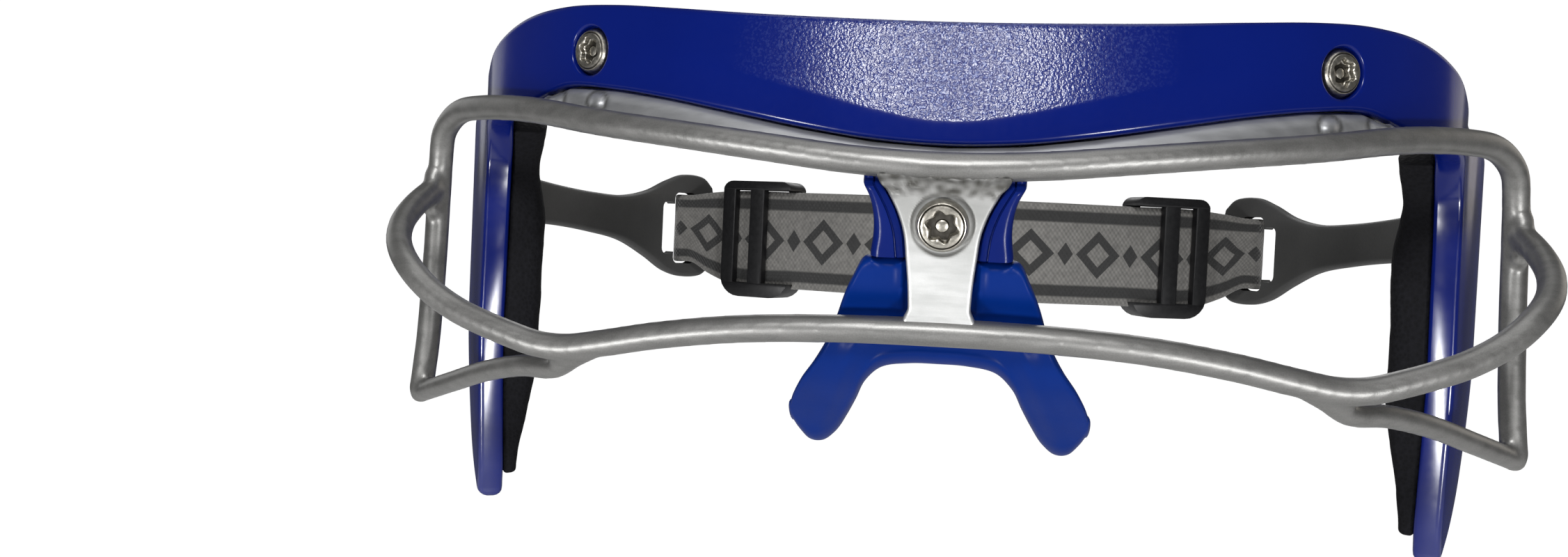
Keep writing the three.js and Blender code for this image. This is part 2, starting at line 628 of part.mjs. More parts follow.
function makeSlider() {
  const heading = Math.atan2(SLOT_CENTRE[1] - STRAIGHT_FROM[1], SLOT_CENTRE[0] - STRAIGHT_FROM[0]);
  const step = WEB / 2 + 0.4;
  const deep = 2 * (step + SLIDER_BAR_THICK);
  const pieces = [];
  for (const end of [-1, 1]) {
    const rail = new THREE.BoxGeometry(SLIDER_LONG, deep, SLIDER_RAIL);
    pieces.push(rail.translate(0, 0, end * (SLIDER_TALL - SLIDER_RAIL) / 2));
  }
  for (const [place, face] of SLIDER_BARS) {
    const bar = new THREE.BoxGeometry(SLIDER_BAR, SLIDER_BAR_THICK, SLIDER_TALL);
    const across = face * (step + SLIDER_BAR_THICK / 2);
    pieces.push(bar.translate(place * (SLIDER_LONG - SLIDER_BAR) / 2, across, 0));
  }
  const y = STRAIGHT_FROM[1] + (SLIDER_AT - STRAIGHT_FROM[0]) * Math.tan(heading);
  return union(...pieces).rotateZ(heading).translate(SLIDER_AT, y, STRAP_Z);
}

const slider = makeSlider();
add('right_slider', slider, 'black');
add('left_slider', mirrored(slider), 'black');

export default goggles;
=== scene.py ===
import math

import bmesh
import bpy
import numpy as np
from mathutils import Matrix, Vector, noise


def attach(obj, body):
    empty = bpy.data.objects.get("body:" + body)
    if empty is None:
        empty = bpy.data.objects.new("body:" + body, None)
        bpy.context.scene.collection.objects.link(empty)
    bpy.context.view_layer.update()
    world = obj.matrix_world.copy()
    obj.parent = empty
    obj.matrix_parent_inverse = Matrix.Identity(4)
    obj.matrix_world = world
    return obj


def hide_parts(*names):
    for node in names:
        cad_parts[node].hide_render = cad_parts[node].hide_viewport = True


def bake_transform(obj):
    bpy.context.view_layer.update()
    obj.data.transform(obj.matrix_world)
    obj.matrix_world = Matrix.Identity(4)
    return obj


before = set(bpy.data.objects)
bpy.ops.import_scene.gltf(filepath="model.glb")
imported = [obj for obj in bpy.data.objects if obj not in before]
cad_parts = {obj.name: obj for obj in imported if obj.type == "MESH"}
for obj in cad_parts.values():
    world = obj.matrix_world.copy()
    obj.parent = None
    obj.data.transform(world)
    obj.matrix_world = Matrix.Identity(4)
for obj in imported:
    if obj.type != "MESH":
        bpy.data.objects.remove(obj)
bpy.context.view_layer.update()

# The goggles' lengths are in millimetres, measured from the nose screw's centre: X to the right as
# seen from the front, Y towards the wearer, Z up. to_frame() turns them into the row frame's metres.
NOSE_SCREW = np.array((0, -10, 19.6))


def to_frame(points):
    return (np.asarray(points, float) + NOSE_SCREW) / 1000


# ---- driving dimensions

# Most are the CAD's. FACET_RISE, SIDE_FOAM_START, SLOT_EASE and EASE_SHIFT differ from it a little,
# and FACET_ROUND and SIDE_SWELL aren't in it.
SIDES = ((-1, "left"), (1, "right"))
CAGE_TILT = math.radians(10.9)
SHELL_PLAN = [
    (0, 1), (20, 2.5), (40, 7.6), (53.5, 14.1), (65, 22.5), (73, 30.2),
    (76.4, 36.2), (79, 44), (82.2, 49.2), (84.6, 54), (85.9, 59.5), (86.3, 65), (86.4, 70),
]
SHELL_THICK = 4.3
FACET_LEAN = 0.19  # the brow's upper facet leans back by this much
FACET_FOOT = 13.7  # height of its lower edge, the crease, at the middle
FACET_RISE = 0.265  # and how fast the crease climbs to the sides
FACET_ROUND = 8  # the crease turns this gently at the middle
OUTER_EDGE = [
    (0, 27.5), (10, 27.6), (20, 27.9), (30, 28.4), (41, 29.2), (52, 30), (62, 30.2), (72, 29.2),
    (82, 25.8), (92, 20.6), (102, 17.5), (110, 13.5), (115.5, 7.5), (117, -2), (115.5, -14),
    (112.5, -27), (109, -38), (106.5, -45), (104.5, -48.8),
]
WINDOW_EDGE = [
    (0, 10.5), (10, 11), (20, 12.4), (30, 14.2), (41, 16.2), (51, 17.6), (61, 18.2), (69, 16.2),
    (78, 15), (86, 14), (91.5, 12), (94.6, 8.5), (95.5, 4), (96, -5), (96.6, -16), (97.6, -28),
    (99, -39), (100.5, -46), (102.3, -49.3),
]
BROW_LAST = 8  # stations up to this one carry the brow foam
LEG_FIRST = 10  # and from this one on the side foam
LEG_LEAN = 2.2  # the legs' feet stand this much closer to the middle
LEAN_HEIGHTS = (-18, -49)  # heights where the lean starts and where it is full

WIRE_R = 2
STRUT_R = 1.7
WIRE_OUT = 2.5  # the top bar runs this far in front of the shell
TOP_BAR = [
    (0, 7.6), (12, 8.1), (24, 9.4), (36, 10.8), (48, 12.2), (54, 13), (60, 13.9), (66, 14.6), (71, 15),
]
TOP_BEND = [
    (74, 26.8, 15.3), (78.8, 31.2, 15), (81.6, 34, 13.7), (83.6, 36, 11.4), (84.5, 37.6, 7.8),
    (85, 38.6, 3), (85.3, 38.9, -5), (85.5, 38.7, -13), (85.7, 38, -22), (86.1, 37.4, -28.6),
]
LOWER_BAR = [
    (0, 3, -14.8), (14, 3.4, -15), (28, 4.7, -15.9), (40, 6.7, -17.6), (48, 8.1, -19.2),
    (54, 9.2, -20.2), (58.4, 9.9, -20), (62.4, 10.6, -19), (67, 11.6, -17.6), (72, 13, -15.8),
    (77, 14.4, -13), (80.8, 16, -9.8), (84, 19.8, -6.6), (85.6, 24.4, -3.6), (86, 30, -0.8),
    (85.7, 35.8, 1.6),
]
STRUT = [
    (56.6, 13, -23.6), (62, 16, -23.9), (69, 21, -25.4), (78, 29.2, -28.5), (86.6, 37.6, -31.6),
]

FLANGE_END = 66
FLANGE_THICK = 1.2
FLANGE_TOP = 3.6  # it stops this far below the brow's top edge
GAP = 0.35  # clearance between pieces that touch

BROW_SCREW_AT = (55.8, 23.3)  # arc length, height
BROW_HEAD_R = 3.25
NOSE_HEAD_R = 3.6
SHANK_R = 1.5
NUT_R = 3
NUT_LONG = 2.4
NUT_START = SHELL_THICK + FLANGE_THICK + 0.7

PLATE_EDGE = [
    (8.1, 5.1), (7.2, 3.6), (6.1, 1.4), (5.2, -1.4), (4.8, -4.6), (4.4, -8.5), (4.2, -12.5),
]
PLATE_THICK = 1.5
HORN_EDGE = [(10.9, 5.2), (9.9, 3.2), (9.4, 1), (9.3, -1.6), (9.6, -4.2)]
BRACKET_BACK = 4.6
PAD_STATIONS = [  # place across, top, foot
    (0, -4.7, -19.6), (4, -4.7, -19.7), (8, -4.7, -20.5), (10.4, -4.7, -22.8), (12, -7.4, -26),
    (13.6, -11, -29), (15.4, -16.2, -31.8), (17.4, -19.8, -33.4), (19.4, -22.6, -33.2),
    (20.9, -25.2, -31.4), (21.5, -26.6, -30.2),
]
PAD_FRONT = [  # height, depth of the pad's front there
    (-34, 23.6), (-31, 20.5), (-27, 15.5), (-22, 9.4), (-18, 6.4), (-12.4, 5.6), (-9, 2.95), (-4.7, 2),
]
PAD_THICK = 5

FOAM = 5
SIDE_SWELL = 1.7  # the side foam swells by this much at the middle of the legs
BROW_FOAM_START = 6.3  # it clears the flange behind the shell
SIDE_FOAM_START = SHELL_THICK + 0.1

PIN = (82.6, 68.4)
PIN_R = 1.1
KNUCKLE_R = 2.9
KNUCKLE = (-2.2, 6.6)  # foot and top of the arm's knuckle
LUG_HEIGHT = 2.6
ARM = [  # x, y, foot, top
    (82.6, 68.4, -2.2, 6.6), (80.8, 73.6, -2.6, 5.9), (77.3, 82, -3, 4.8), (73.4, 91.5, -4, 4),
    (69.4, 101, -5.6, 3.8), (65.9, 109, -8.8, 5.2), (62.9, 114.2, -11.8, 7.6), (60.2, 117.4, -12.9, 9),
    (56.87, 120.98, -12.6, 8.6), (55.4, 122.56, -11, 6.8),
]
ARM_THICK = 2.8
BAR_CENTRE = (56.87, 120.98)
SLOT_CENTRE = (60.2, 117.4)
SLOT = (5.6, 15.2)
SLOT_EASE = (3.6, 11.2)  # the slot goes on outboard of the strap, less tall
EASE_SHIFT = 4.3
SLOT_Z = -2.5
STRAP_Z = -4.1  # the open strap hangs a little lower than its loops

WEB = 1.5
WEB_WIDE = 20
LOOP_WIDE = 14.4
STRAP_HALF = [  # x, y, how far it is gathered
    (0, 99.3, 0), (7, 99.4, 0), (14, 100, 0), (20, 101.2, 0), (33, 106.44, 0), (46, 111.68, 0),
    (53, 114.5, 0.5), (57.2, 116.19, 1), (60.2, 117.4, 1), (61.3, 119.6, 1), (61.3, 122.6, 1),
    (59.9, 125, 1), (57.4, 126.1, 1), (54.6, 125.3, 1),
]
TAIL = [(53.4, 124.2, 1), (50.6, 120.9, 0.5), (46.8, 117.3, 0), (42.5, 114.6, 0), (35.2, 111.8, 0)]
SLIDER_AT = (41, 109.66, STRAP_Z)
SLIDER_HEADING = math.radians(21.95)
SLIDER_LONG = 16.6
SLIDER_TALL = 24.2
SLIDER_DEEP = 6.4


# ---- curves

def through(points, steps=12):
    """A centripetal Catmull-Rom curve through the points, with the same steps between each two."""
    p = np.array(points, float)
    p = np.vstack([2 * p[0] - p[1], p, 2 * p[-1] - p[-2]])
    t = np.linspace(0, 1, steps, endpoint=False)[:, None]
    runs = []
    for a, b, c, d in zip(p, p[1:], p[2:], p[3:]):
        ab, bc, cd = (math.sqrt(np.linalg.norm(v)) for v in (b - a, c - b, d - c))
        leave = ((b - a) / ab - (c - a) / (ab + bc) + (c - b) / bc) * bc
        reach = ((c - b) / bc - (d - b) / (bc + cd) + (d - c) / cd) * bc
        square = 3 * (c - b) - 2 * leave - reach
        cube = 2 * (b - c) + leave + reach
        runs.append(b + leave * t + square * t**2 + cube * t**3)
    runs.append(p[-2:-1])
    return np.vstack(runs)


def lengths(points):
    return np.concatenate([[0], np.cumsum(np.linalg.norm(np.diff(points, axis=0), axis=1))])


def spaced(points, step):
    """The same line with its points the given distance apart. The first three columns are the place."""
    along = lengths(points[:, :3])
    at = np.linspace(0, along[-1], max(3, round(along[-1] / step)))
    return np.column_stack([np.interp(at, along, column) for column in points.T])


def both_sides(points):
    left = [(-p[0], *p[1:]) for p in reversed(points[1:])]
    return [*left, *points]


def smoothstep(low, high, x):
    t = np.clip((np.asarray(x, float) - low) / (high - low), 0, 1)
    return t * t * (3 - 2 * t)


def hill(x, middle, wide):
    """1 at the middle, and next to nothing from twice the width away."""
    return np.exp(-((x - middle) / wide)**2)


PLAN = through(both_sides(SHELL_PLAN), 60)
PLAN_ARC = lengths(PLAN) - lengths(PLAN)[-1] / 2
PLAN_TANGENT = np.gradient(PLAN, PLAN_ARC, axis=0)


def on_shell(arc, z, depth):
    """A point at an arc length from the middle, a height, and a depth behind the shell's front."""
    x, y = (np.interp(arc, PLAN_ARC, column) for column in PLAN.T)
    tx, ty = (np.interp(arc, PLAN_ARC, column) for column in PLAN_TANGENT.T)
    top, foot = LEAN_HEIGHTS
    lean = -np.sign(arc) * LEG_LEAN * np.clip((top - np.asarray(z, float)) / (top - foot), 0, 1) ** 1.5
    return np.stack(np.broadcast_arrays(x - ty * depth + lean, y + tx * depth, z), axis=-1)


def outward_at(arc):
    tx, ty = (np.interp(arc, PLAN_ARC, column) for column in PLAN_TANGENT.T)
    return Vector((ty, -tx, 0)).normalized()


def facet_foot(arc):
    return FACET_FOOT + FACET_RISE * (np.hypot(arc, FACET_ROUND) - FACET_ROUND)


def tilted(points):
    """Points of the nose assembly, which leans with the cage."""
    x, y, z = np.moveaxis(np.asarray(points, float), -1, 0)
    c, s = math.cos(CAGE_TILT), math.sin(CAGE_TILT)
    return np.stack([x, y * c - z * s, y * s + z * c], axis=-1)


# ---- meshes

NEAR_AXIS = 0.01  # a ring on its axis has this radius, so that it stays a ring
UPRIGHT = (0, 0, 1)


def added(name, data):
    obj = bpy.data.objects.new(name, data)
    bpy.context.scene.collection.objects.link(obj)
    return obj


def solid(name, points, faces):
    """A mesh object from points in millimetres, its faces turned outwards."""
    mesh = bpy.data.meshes.new(name)
    mesh.from_pydata(to_frame(points).tolist(), [], [list(map(int, face)) for face in faces])
    bm = bmesh.new()
    bm.from_mesh(mesh)
    bmesh.ops.remove_doubles(bm, verts=bm.verts, dist=1e-7)
    bmesh.ops.recalc_face_normals(bm, faces=bm.faces)
    bm.to_mesh(mesh)
    bm.free()
    return added(name, mesh)


def ring_faces(rings, count):
    """Quads between rings of equal length, and a face over each end."""
    faces = []
    for r in range(rings - 1):
        for i in range(count):
            j = (i + 1) % count
            faces.append((r * count + i, r * count + j, (r + 1) * count + j, (r + 1) * count + i))
    faces.append(range(count - 1, -1, -1))
    faces.append(range((rings - 1) * count, rings * count))
    return faces


def domed(rings, bulge, steps=5):
    """The rings with both ends rounded over by the given length."""
    rings = np.asarray(rings, float)
    caps = []
    for edge, inner in ((rings[0], rings[1]), (rings[-1], rings[-2])):
        middle = edge.mean(axis=0)
        out = middle - inner.mean(axis=0)
        out /= np.linalg.norm(out)
        turns = np.linspace(0, math.pi / 2, steps + 1)[1:] * 0.97
        caps.append([middle + (edge - middle) * math.cos(a) + out * bulge * math.sin(a) for a in turns])
    return np.concatenate([np.array(caps[0])[::-1], rings, np.array(caps[1])])


def skin(name, rings):
    rings = np.asarray(rings, float)
    return solid(name, rings.reshape(-1, 3), ring_faces(*rings.shape[:2]))


def around(sides):
    return np.linspace(0, 2 * math.pi, sides, endpoint=False)


def rod(path, radius, sides=20):
    """Round sections along a path. The radius is one number, or one for each point."""
    path = np.asarray(path, float)
    radii = np.broadcast_to(radius, len(path))
    tangents = np.gradient(path, axis=0)
    tangents /= np.linalg.norm(tangents, axis=1)[:, None]
    across = np.cross(tangents[0], (0.3, 0.5, 0.8))
    turns = around(sides)
    rings = []
    for centre, tangent, r in zip(path, tangents, radii):
        across = across - tangent * np.dot(across, tangent)
        across /= np.linalg.norm(across)
        other = np.cross(tangent, across)
        rings.append(centre + r * (np.cos(turns)[:, None] * across + np.sin(turns)[:, None] * other))
    return domed(rings, float(radii[0]))


def rounded(wide, thick, front_r, back_r, across=14, crease=0.5):
    """Outline of a rounded bar as rows of distance across and depth: along the front, then back behind.
    Half of the front's rows lie before the crease, which is given as a share of the width."""
    quarter = np.linspace(0, math.pi / 2, 6)
    c, s = np.cos(quarter), np.sin(quarter)
    faces = np.interp(np.linspace(0, 1, across), (0, 0.5, 1), (0, crease, 1))[1:-1]
    f, b = min(front_r, wide * 0.45), min(back_r, wide * 0.45)
    rows = [
        np.column_stack([f - f * c, f - f * s]),
        np.column_stack([f + (wide - 2 * f) * faces, 0 * faces]),
        np.column_stack([wide - f + f * s, f - f * c]),
        np.column_stack([wide - b + b * c, thick - b + b * s]),
        np.column_stack([wide - b - (wide - 2 * b) * faces, thick + 0 * faces]),
        np.column_stack([b - b * s, thick - b + b * c]),
    ]
    return np.vstack(rows)


def rings_about(centre, axis, rows, sides):
    """Rings about an axis from rows of radius and height along it. A radius is a number, or one for
    each point of the ring."""
    axis = Vector(axis).normalized()
    side = axis.orthogonal().normalized()
    other = axis.cross(side)
    phi = around(sides)
    circle = np.outer(np.cos(phi), side) + np.outer(np.sin(phi), other)
    rings = []
    for radius, height in rows:
        radius = np.reshape(np.maximum(radius, NEAR_AXIS), (-1, 1))
        rings.append(np.array(centre) + circle * radius + np.array(axis) * height)
    return rings


def turned(name, outline, centre, axis, sides=48):
    return skin(name, rings_about(centre, axis, outline, sides))


def barrel(r, low, high, edge, soft):
    """Outline of a short cylinder whose two edges are rounded over in two steps."""
    return [
        (0, low), (r - edge, low), (r - soft, low + soft), (r, low + edge),
        (r, high - edge), (r - soft, high - soft), (r - edge, high), (0, high),
    ]


def block(name, size, heading, centre, bevel, segments=3):
    """A box with rounded edges, turned about the upright."""
    bm = bmesh.new()
    bmesh.ops.create_cube(bm, size=1)
    bmesh.ops.scale(bm, vec=Vector(size), verts=bm.verts)
    bmesh.ops.bevel(bm, geom=bm.edges[:], offset=bevel, segments=segments, profile=0.5, affect="EDGES")
    turn = Matrix.Translation(Vector(centre)) @ Matrix.Rotation(heading, 4, "Z")
    bmesh.ops.transform(bm, matrix=turn, verts=bm.verts)
    points = [v.co[:] for v in bm.verts]
    faces = [[v.index for v in face.verts] for face in bm.faces]
    bm.free()
    return solid(name, points, faces)


def settle_modifiers(obj):
    """Turns the object's modifiers into its mesh."""
    depsgraph = bpy.context.evaluated_depsgraph_get()
    mesh = bpy.data.meshes.new_from_object(obj.evaluated_get(depsgraph))
    obj.modifiers.clear()
    old = obj.data
    obj.data = mesh
    bpy.data.meshes.remove(old)


def combine(obj, tools, operation):
    """Joins the tools to a body, or cuts them out of it, and removes them."""
    for tool in tools:
        change = obj.modifiers.new(operation, "BOOLEAN")
        change.operation = operation
        change.solver = "EXACT"
        change.object = tool
        settle_modifiers(obj)
        bpy.data.objects.remove(tool)


def on_side(side, right, left_name):
    """The right-hand body itself, or its mirror image in its place."""
    if side > 0:
        return right
    left = added(left_name, right.data.copy())
    left.data.transform(Matrix.Scale(-1, 4, (1, 0, 0)))
    left.data.flip_normals()
    bpy.data.objects.remove(right)
    return left


def finish(obj, material, nodes, body="frame", sharp=35):
    """Shading, material, body and the CAD nodes that a finished mesh stands for. A blended piece has
    no body of its own."""
    obj.data.polygons.foreach_set("use_smooth", [True] * len(obj.data.polygons))
    obj.data.set_sharp_from_angle(angle=math.radians(sharp))
    obj.data.materials.clear()
    obj.data.materials.append(material)
    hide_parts(*nodes)
    if body:
        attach(obj, body)


def places(obj):
    """The mesh's points in millimetres from the nose screw."""
    flat = np.zeros(len(obj.data.vertices) * 3)
    obj.data.vertices.foreach_get("co", flat)
    return flat.reshape(-1, 3) * 1000 - NOSE_SCREW


def paint(obj, name, values):
    """A number for each point of the mesh that a material reads."""
    attribute = obj.data.attributes.new(name, "FLOAT", "POINT")
    attribute.data.foreach_set("value", np.asarray(values, np.float32))


def lumps(points, size, seed=0.0):
    """Smooth noise from -1 to 1 at each point, with lumps of the given size."""
    shift = Vector((seed, seed * 1.7, seed * 0.3))
    return np.array([noise.noise(Vector(p) / size + shift) for p in points])


# ---- materials

class Look:
    """A node material. A value is a number or a colour, the same all over, or another node's output."""

    def __init__(self, name, **values):
        self.material = bpy.data.materials.new(name)
        self.material.use_nodes = True
        self.tree = self.material.node_tree
        self.shader = self.tree.nodes["Principled BSDF"]
        self.place = self.node("TexCoord").outputs["Object"]
        for socket, value in values.items():
            self.shade(socket.replace("_", " "), value)

    def node(self, kind):
        return self.tree.nodes.new("ShaderNode" + kind)

    def feed(self, node, socket, value):
        if isinstance(value, bpy.types.NodeSocket):
            self.tree.links.new(value, node.inputs[socket])
        elif isinstance(value, tuple):
            node.inputs[socket].default_value = (*value, 1)
        else:
            node.inputs[socket].default_value = value

    def shade(self, socket, value):
        self.feed(self.shader, socket, value)

    def texture(self, kind, source=None, **settings):
        node = self.node("Tex" + kind)
        for name, value in settings.items():
            node.inputs[name].default_value = value
        self.feed(node, "Vector", source or self.place)
        return node.outputs["Distance" if kind == "Voronoi" else "Fac"]

    def ramp(self, source, *stops):
        node = self.node("ValToRGB")
        elements = node.color_ramp.elements
        while len(elements) < len(stops):
            elements.new(0.5)
        for element, (at, value) in zip(elements, stops):
            element.position = at
            element.color = (value, value, value, 1)
        self.feed(node, 0, source)
        return node.outputs["Color"]

    def math(self, operation, *values):
        node = self.node("Math")
        node.operation = operation
        for k, value in enumerate(values):
            self.feed(node, k, value)
        return node.outputs[0]

    def mix(self, share, first, second):
        node = self.node("Mix")
        node.data_type = "RGBA"
        for k, value in ((0, share), (6, first), (7, second)):
            self.feed(node, k, value)
        return node.outputs[2]

    def number(self, name):
        node = self.node("Attribute")
        node.attribute_name = name
        return node.outputs["Fac"]

    def stretched(self, scale):
        node = self.node("Mapping")
        node.inputs["Scale"].default_value = scale
        self.feed(node, "Vector", self.place)
        return node.outputs["Vector"]

    def bump(self, height, distance, strength, after=None):
        """The distance is in metres."""
        node = self.node("Bump")
        for socket, value in (("Distance", distance), ("Strength", strength), ("Height", height)):
            self.feed(node, socket, value)
        if after:
            self.feed(node, "Normal", after)
        return node.outputs["Normal"]


def blue_plastic():
    """Moulded plastic. The brow's upper facet is pebbled, most at the middle, with painted glints on its
    grains, and the rest is glossy.
    """
    look = Look("blue_plastic", IOR=1.5)
    above = look.math("DIVIDE", look.number("above_crease"), 10)
    off_middle = look.math("DIVIDE", look.number("off_middle"), 100)
    facet = look.ramp(above, (0, 0), (0.05, 1))
    fade = look.ramp(off_middle, (0, 1), (0.13, 0.55), (0.31, 0))
    pebble = look.math("MULTIPLY", facet, fade)
    cloud = look.texture("Noise", Scale=60, Detail=2)
    base = look.mix(cloud, (0.0006, 0.0055, 0.095), (0.001, 0.0078, 0.122))
    grains = look.texture("Noise", Scale=2500, Detail=1, Roughness=0.6)
    # The paler blue on the grains is painted glints, a painted highlight strongest at the middle of the
    # brow.
    painted_glints = look.math("MULTIPLY", look.ramp(grains, (0.5, 0), (0.66, 1)), pebble)
    share = look.math("MULTIPLY", painted_glints, 0.26)
    look.shade("Base Color", look.mix(share, base, (0.2, 0.28, 0.6)))
    rub = look.texture("Noise", Scale=900, Detail=3)
    glossy = look.math("MULTIPLY_ADD", rub, 0.08, 0.15)
    look.shade("Roughness", look.math("MULTIPLY_ADD", pebble, 0.12, glossy))
    leg = look.ramp(off_middle, (0.86, 0), (0.94, 1))
    bright = look.math("MAXIMUM", pebble, leg)
    look.shade("Specular IOR Level", look.math("MULTIPLY_ADD", bright, 0.6, 0.3))
    orange_peel = look.bump(look.texture("Noise", Scale=420, Detail=1), 0.00002, 0.25)
    look.shade("Normal", look.bump(grains, 0.00017, pebble, orange_peel))
    return look.material


def grained(name, grain, colors, rough, bump, cloud=None, shade_and_burn=None, **values):
    """A material whose colour, roughness and surface all follow one fine grain. Where there is a cloud,
    which is coarser, the colour follows that instead. Rough is the grain's share and the least value.
    The optional shade colour is painted shade, laid where the mesh's number for it is 1."""
    look = Look(name, **values)
    fine = look.texture(**grain)
    color = look.mix(look.texture(**cloud) if cloud else fine, *colors)
    # Painted shade, laid where the mesh's number for it is 1.
    if shade_and_burn:
        color = look.mix(look.number("shade_and_burn"), color, shade_and_burn)
    look.shade("Base Color", color)
    look.shade("Roughness", look.math("MULTIPLY_ADD", fine, *rough))
    look.shade("Normal", look.bump(fine, *bump))
    return look.material


def fine_noise(scale, detail, **settings):
    return {"kind": "Noise", "Scale": scale, "Detail": detail, **settings}


def blue_satin(name, colors, roughness, shine):
    return grained(
        name, fine_noise(1500, 3), colors, (0.14, roughness), (0.00003, 0.35),
        cloud=fine_noise(90, 3), IOR=1.45, Specular_IOR_Level=shine,
    )


def silver_coat(name, dark, light):
    """Satin coat over metal. A mesh that carries the number for painted shade is darkened where it is 1:
    painted shade, and on the nose plate also burnt weld.
    """
    look = Look(name, Metallic=0.75, Coat_Weight=0.12, Coat_Roughness=0.3)
    streaks = look.texture("Noise", look.stretched((30, 160, 160)), Scale=4, Detail=4, Roughness=0.6)
    flake = look.texture("Noise", Scale=5200, Detail=1)
    bands = look.ramp(streaks, (0.3, 0), (0.7, 1))
    tone = look.mix(bands, dark, light)
    flaked = look.mix(look.math("MULTIPLY", flake, 0.25), tone, (0.5, 0.495, 0.48))
    # Darkened towards a dark grey where the mesh's number is 1: painted shade, and burnt weld on the
    # nose plate.
    look.shade("Base Color", look.mix(look.number("shade_and_burn"), flaked, (0.07, 0.068, 0.062)))
    satin = look.math("MULTIPLY_ADD", streaks, 0.14, 0.35)
    look.shade("Roughness", look.math("MULTIPLY_ADD", look.number("shade_and_burn"), 0.2, satin))
    ripple = look.bump(look.texture("Noise", Scale=180, Detail=2), 0.00003, 0.25)
    look.shade("Normal", look.bump(flake, 0.00002, 0.4, ripple))
    return look.material


# The strap's pattern, in millimetres: it repeats over two beats, with a diamond ring at one end of the
# beat and a small full diamond at the other.
BEAT = 7.0
RING_R = 3.6
RING_HALF = 1.15
SMALL_DIAMOND = 1.6
PATTERN_HALF = 5.4
WEB_EDGE = 10.0


def webbing_cloth():
    """Woven strap. The mesh carries how far along and how far across each point is, in millimetres."""
    look = Look("webbing_cloth", Sheen_Weight=0.3, Sheen_Roughness=0.5)
    along = look.number("along")
    across = look.number("across")
    mirror = look.math("ABSOLUTE", across)
    out = look.math("DIVIDE", mirror, WEB_EDGE)
    edge = look.ramp(out, (0.6, 0), (0.64, 1), (0.83, 1), (0.87, 0))
    beat = look.math("PINGPONG", along, BEAT)
    ring = look.math("ABSOLUTE", look.math("SUBTRACT", look.math("ADD", beat, mirror), RING_R))
    rings = look.math("LESS_THAN", ring, RING_HALF)
    wedge = look.math("MULTIPLY_ADD", mirror, 0.7, look.math("SUBTRACT", BEAT, beat))
    wedges = look.math("LESS_THAN", wedge, SMALL_DIAMOND)
    inside = look.math("LESS_THAN", mirror, PATTERN_HALF)
    marks = look.math("MULTIPLY", look.math("MAXIMUM", rings, wedges), inside)
    threads = look.math("SINE", look.math("MULTIPLY", along, 7.0))
    ribs = look.math("SINE", look.math("MULTIPLY", across, 5.2))
    weave = look.math("MULTIPLY_ADD", look.math("MULTIPLY", threads, ribs), 0.5, 0.5)
    fuzz = look.texture("Noise", Scale=900, Detail=4)
    light = look.mix(fuzz, (0.075, 0.073, 0.069), (0.21, 0.203, 0.19))
    dark = look.mix(fuzz, (0.004, 0.004, 0.004), (0.018, 0.018, 0.018))
    ink = look.math("MAXIMUM", edge, marks)
    hollows = look.math("MULTIPLY", weave, 0.35)
    look.shade("Base Color", look.mix(hollows, look.mix(ink, light, dark), (0.02, 0.02, 0.02)))
    look.shade("Roughness", 0.85)
    look.shade("Normal", look.bump(weave, 0.00018, 0.7, look.bump(fuzz, 0.0001, 0.3)))
    return look.material


BLUE = blue_plastic()
BRACKET_BLUE = blue_satin("bracket_blue", ((0.0015, 0.007, 0.08), (0.003, 0.012, 0.125)), 0.16, 0.14)
SILICONE = blue_satin("silicone_blue", ((0.0005, 0.014, 0.12), (0.0008, 0.02, 0.165)), 0.3, 0.1)
SILVER = silver_coat("silver_coat", (0.135, 0.135, 0.13), (0.2, 0.198, 0.192))
# The flange and the plate are brighter copies of the silver coat. This is painted light that stands in
# for light falling on them.
LIT_SHEET_SILVER = silver_coat("lit_sheet_silver", (0.42, 0.43, 0.45), (0.54, 0.55, 0.57))
LIT_PLATE_SILVER = silver_coat("lit_plate_silver", (0.56, 0.57, 0.56), (0.7, 0.705, 0.7))
# The stainless steel's darkest colour is painted shade for the screws' recesses, grooves and rims.
STEEL = grained(
    "stainless", fine_noise(1700, 4, Roughness=0.7), ((0.13, 0.12, 0.1), (0.66, 0.63, 0.56)),
    (0.3, 0.2), (0.00006, 0.45), shade_and_burn=(0.035, 0.032, 0.027), Metallic=1,
)
FOAM_SKIN = grained(
    "foam_skin", {"kind": "Voronoi", "Scale": 1500}, ((0.002, 0.002, 0.0028), (0.008, 0.008, 0.01)),
    (0.2, 0.72), (0.00018, 0.6), Specular_IOR_Level=0.12,
)
ARM_RUBBER = grained(
    "arm_rubber", fine_noise(1900, 2), ((0.028, 0.028, 0.028), (0.05, 0.05, 0.049)),
    (0.2, 0.42), (0.00005, 0.35), cloud=fine_noise(120, 3), IOR=1.42,
)
BLACK = grained(
    "slider_plastic", fine_noise(1300, 2), ((0.003, 0.003, 0.0035), (0.008, 0.008, 0.009)),
    (0.2, 0.3), (0.00004, 0.4), IOR=1.5, Specular_IOR_Level=0.35,
)
WEBBING = webbing_cloth()


# ---- brow shell with its temple legs

STEPS = 12
OUTER_LINE, WINDOW_LINE = (through(both_sides(edge), STEPS) for edge in (OUTER_EDGE, WINDOW_EDGE))
MIDDLE_ROW = len(OUTER_LINE) // 2
LUG_ROOT = 113  # arc length where the lugs' necks start
WELL = [  # a brow screw's well: radius, height
    (0, -1.3), (3.5, -1.3), (3.6, -1.2), (3.6, -0.45), (3.75, -0.2), (4.3, 0.1), (4.3, 3), (0, 3),
]


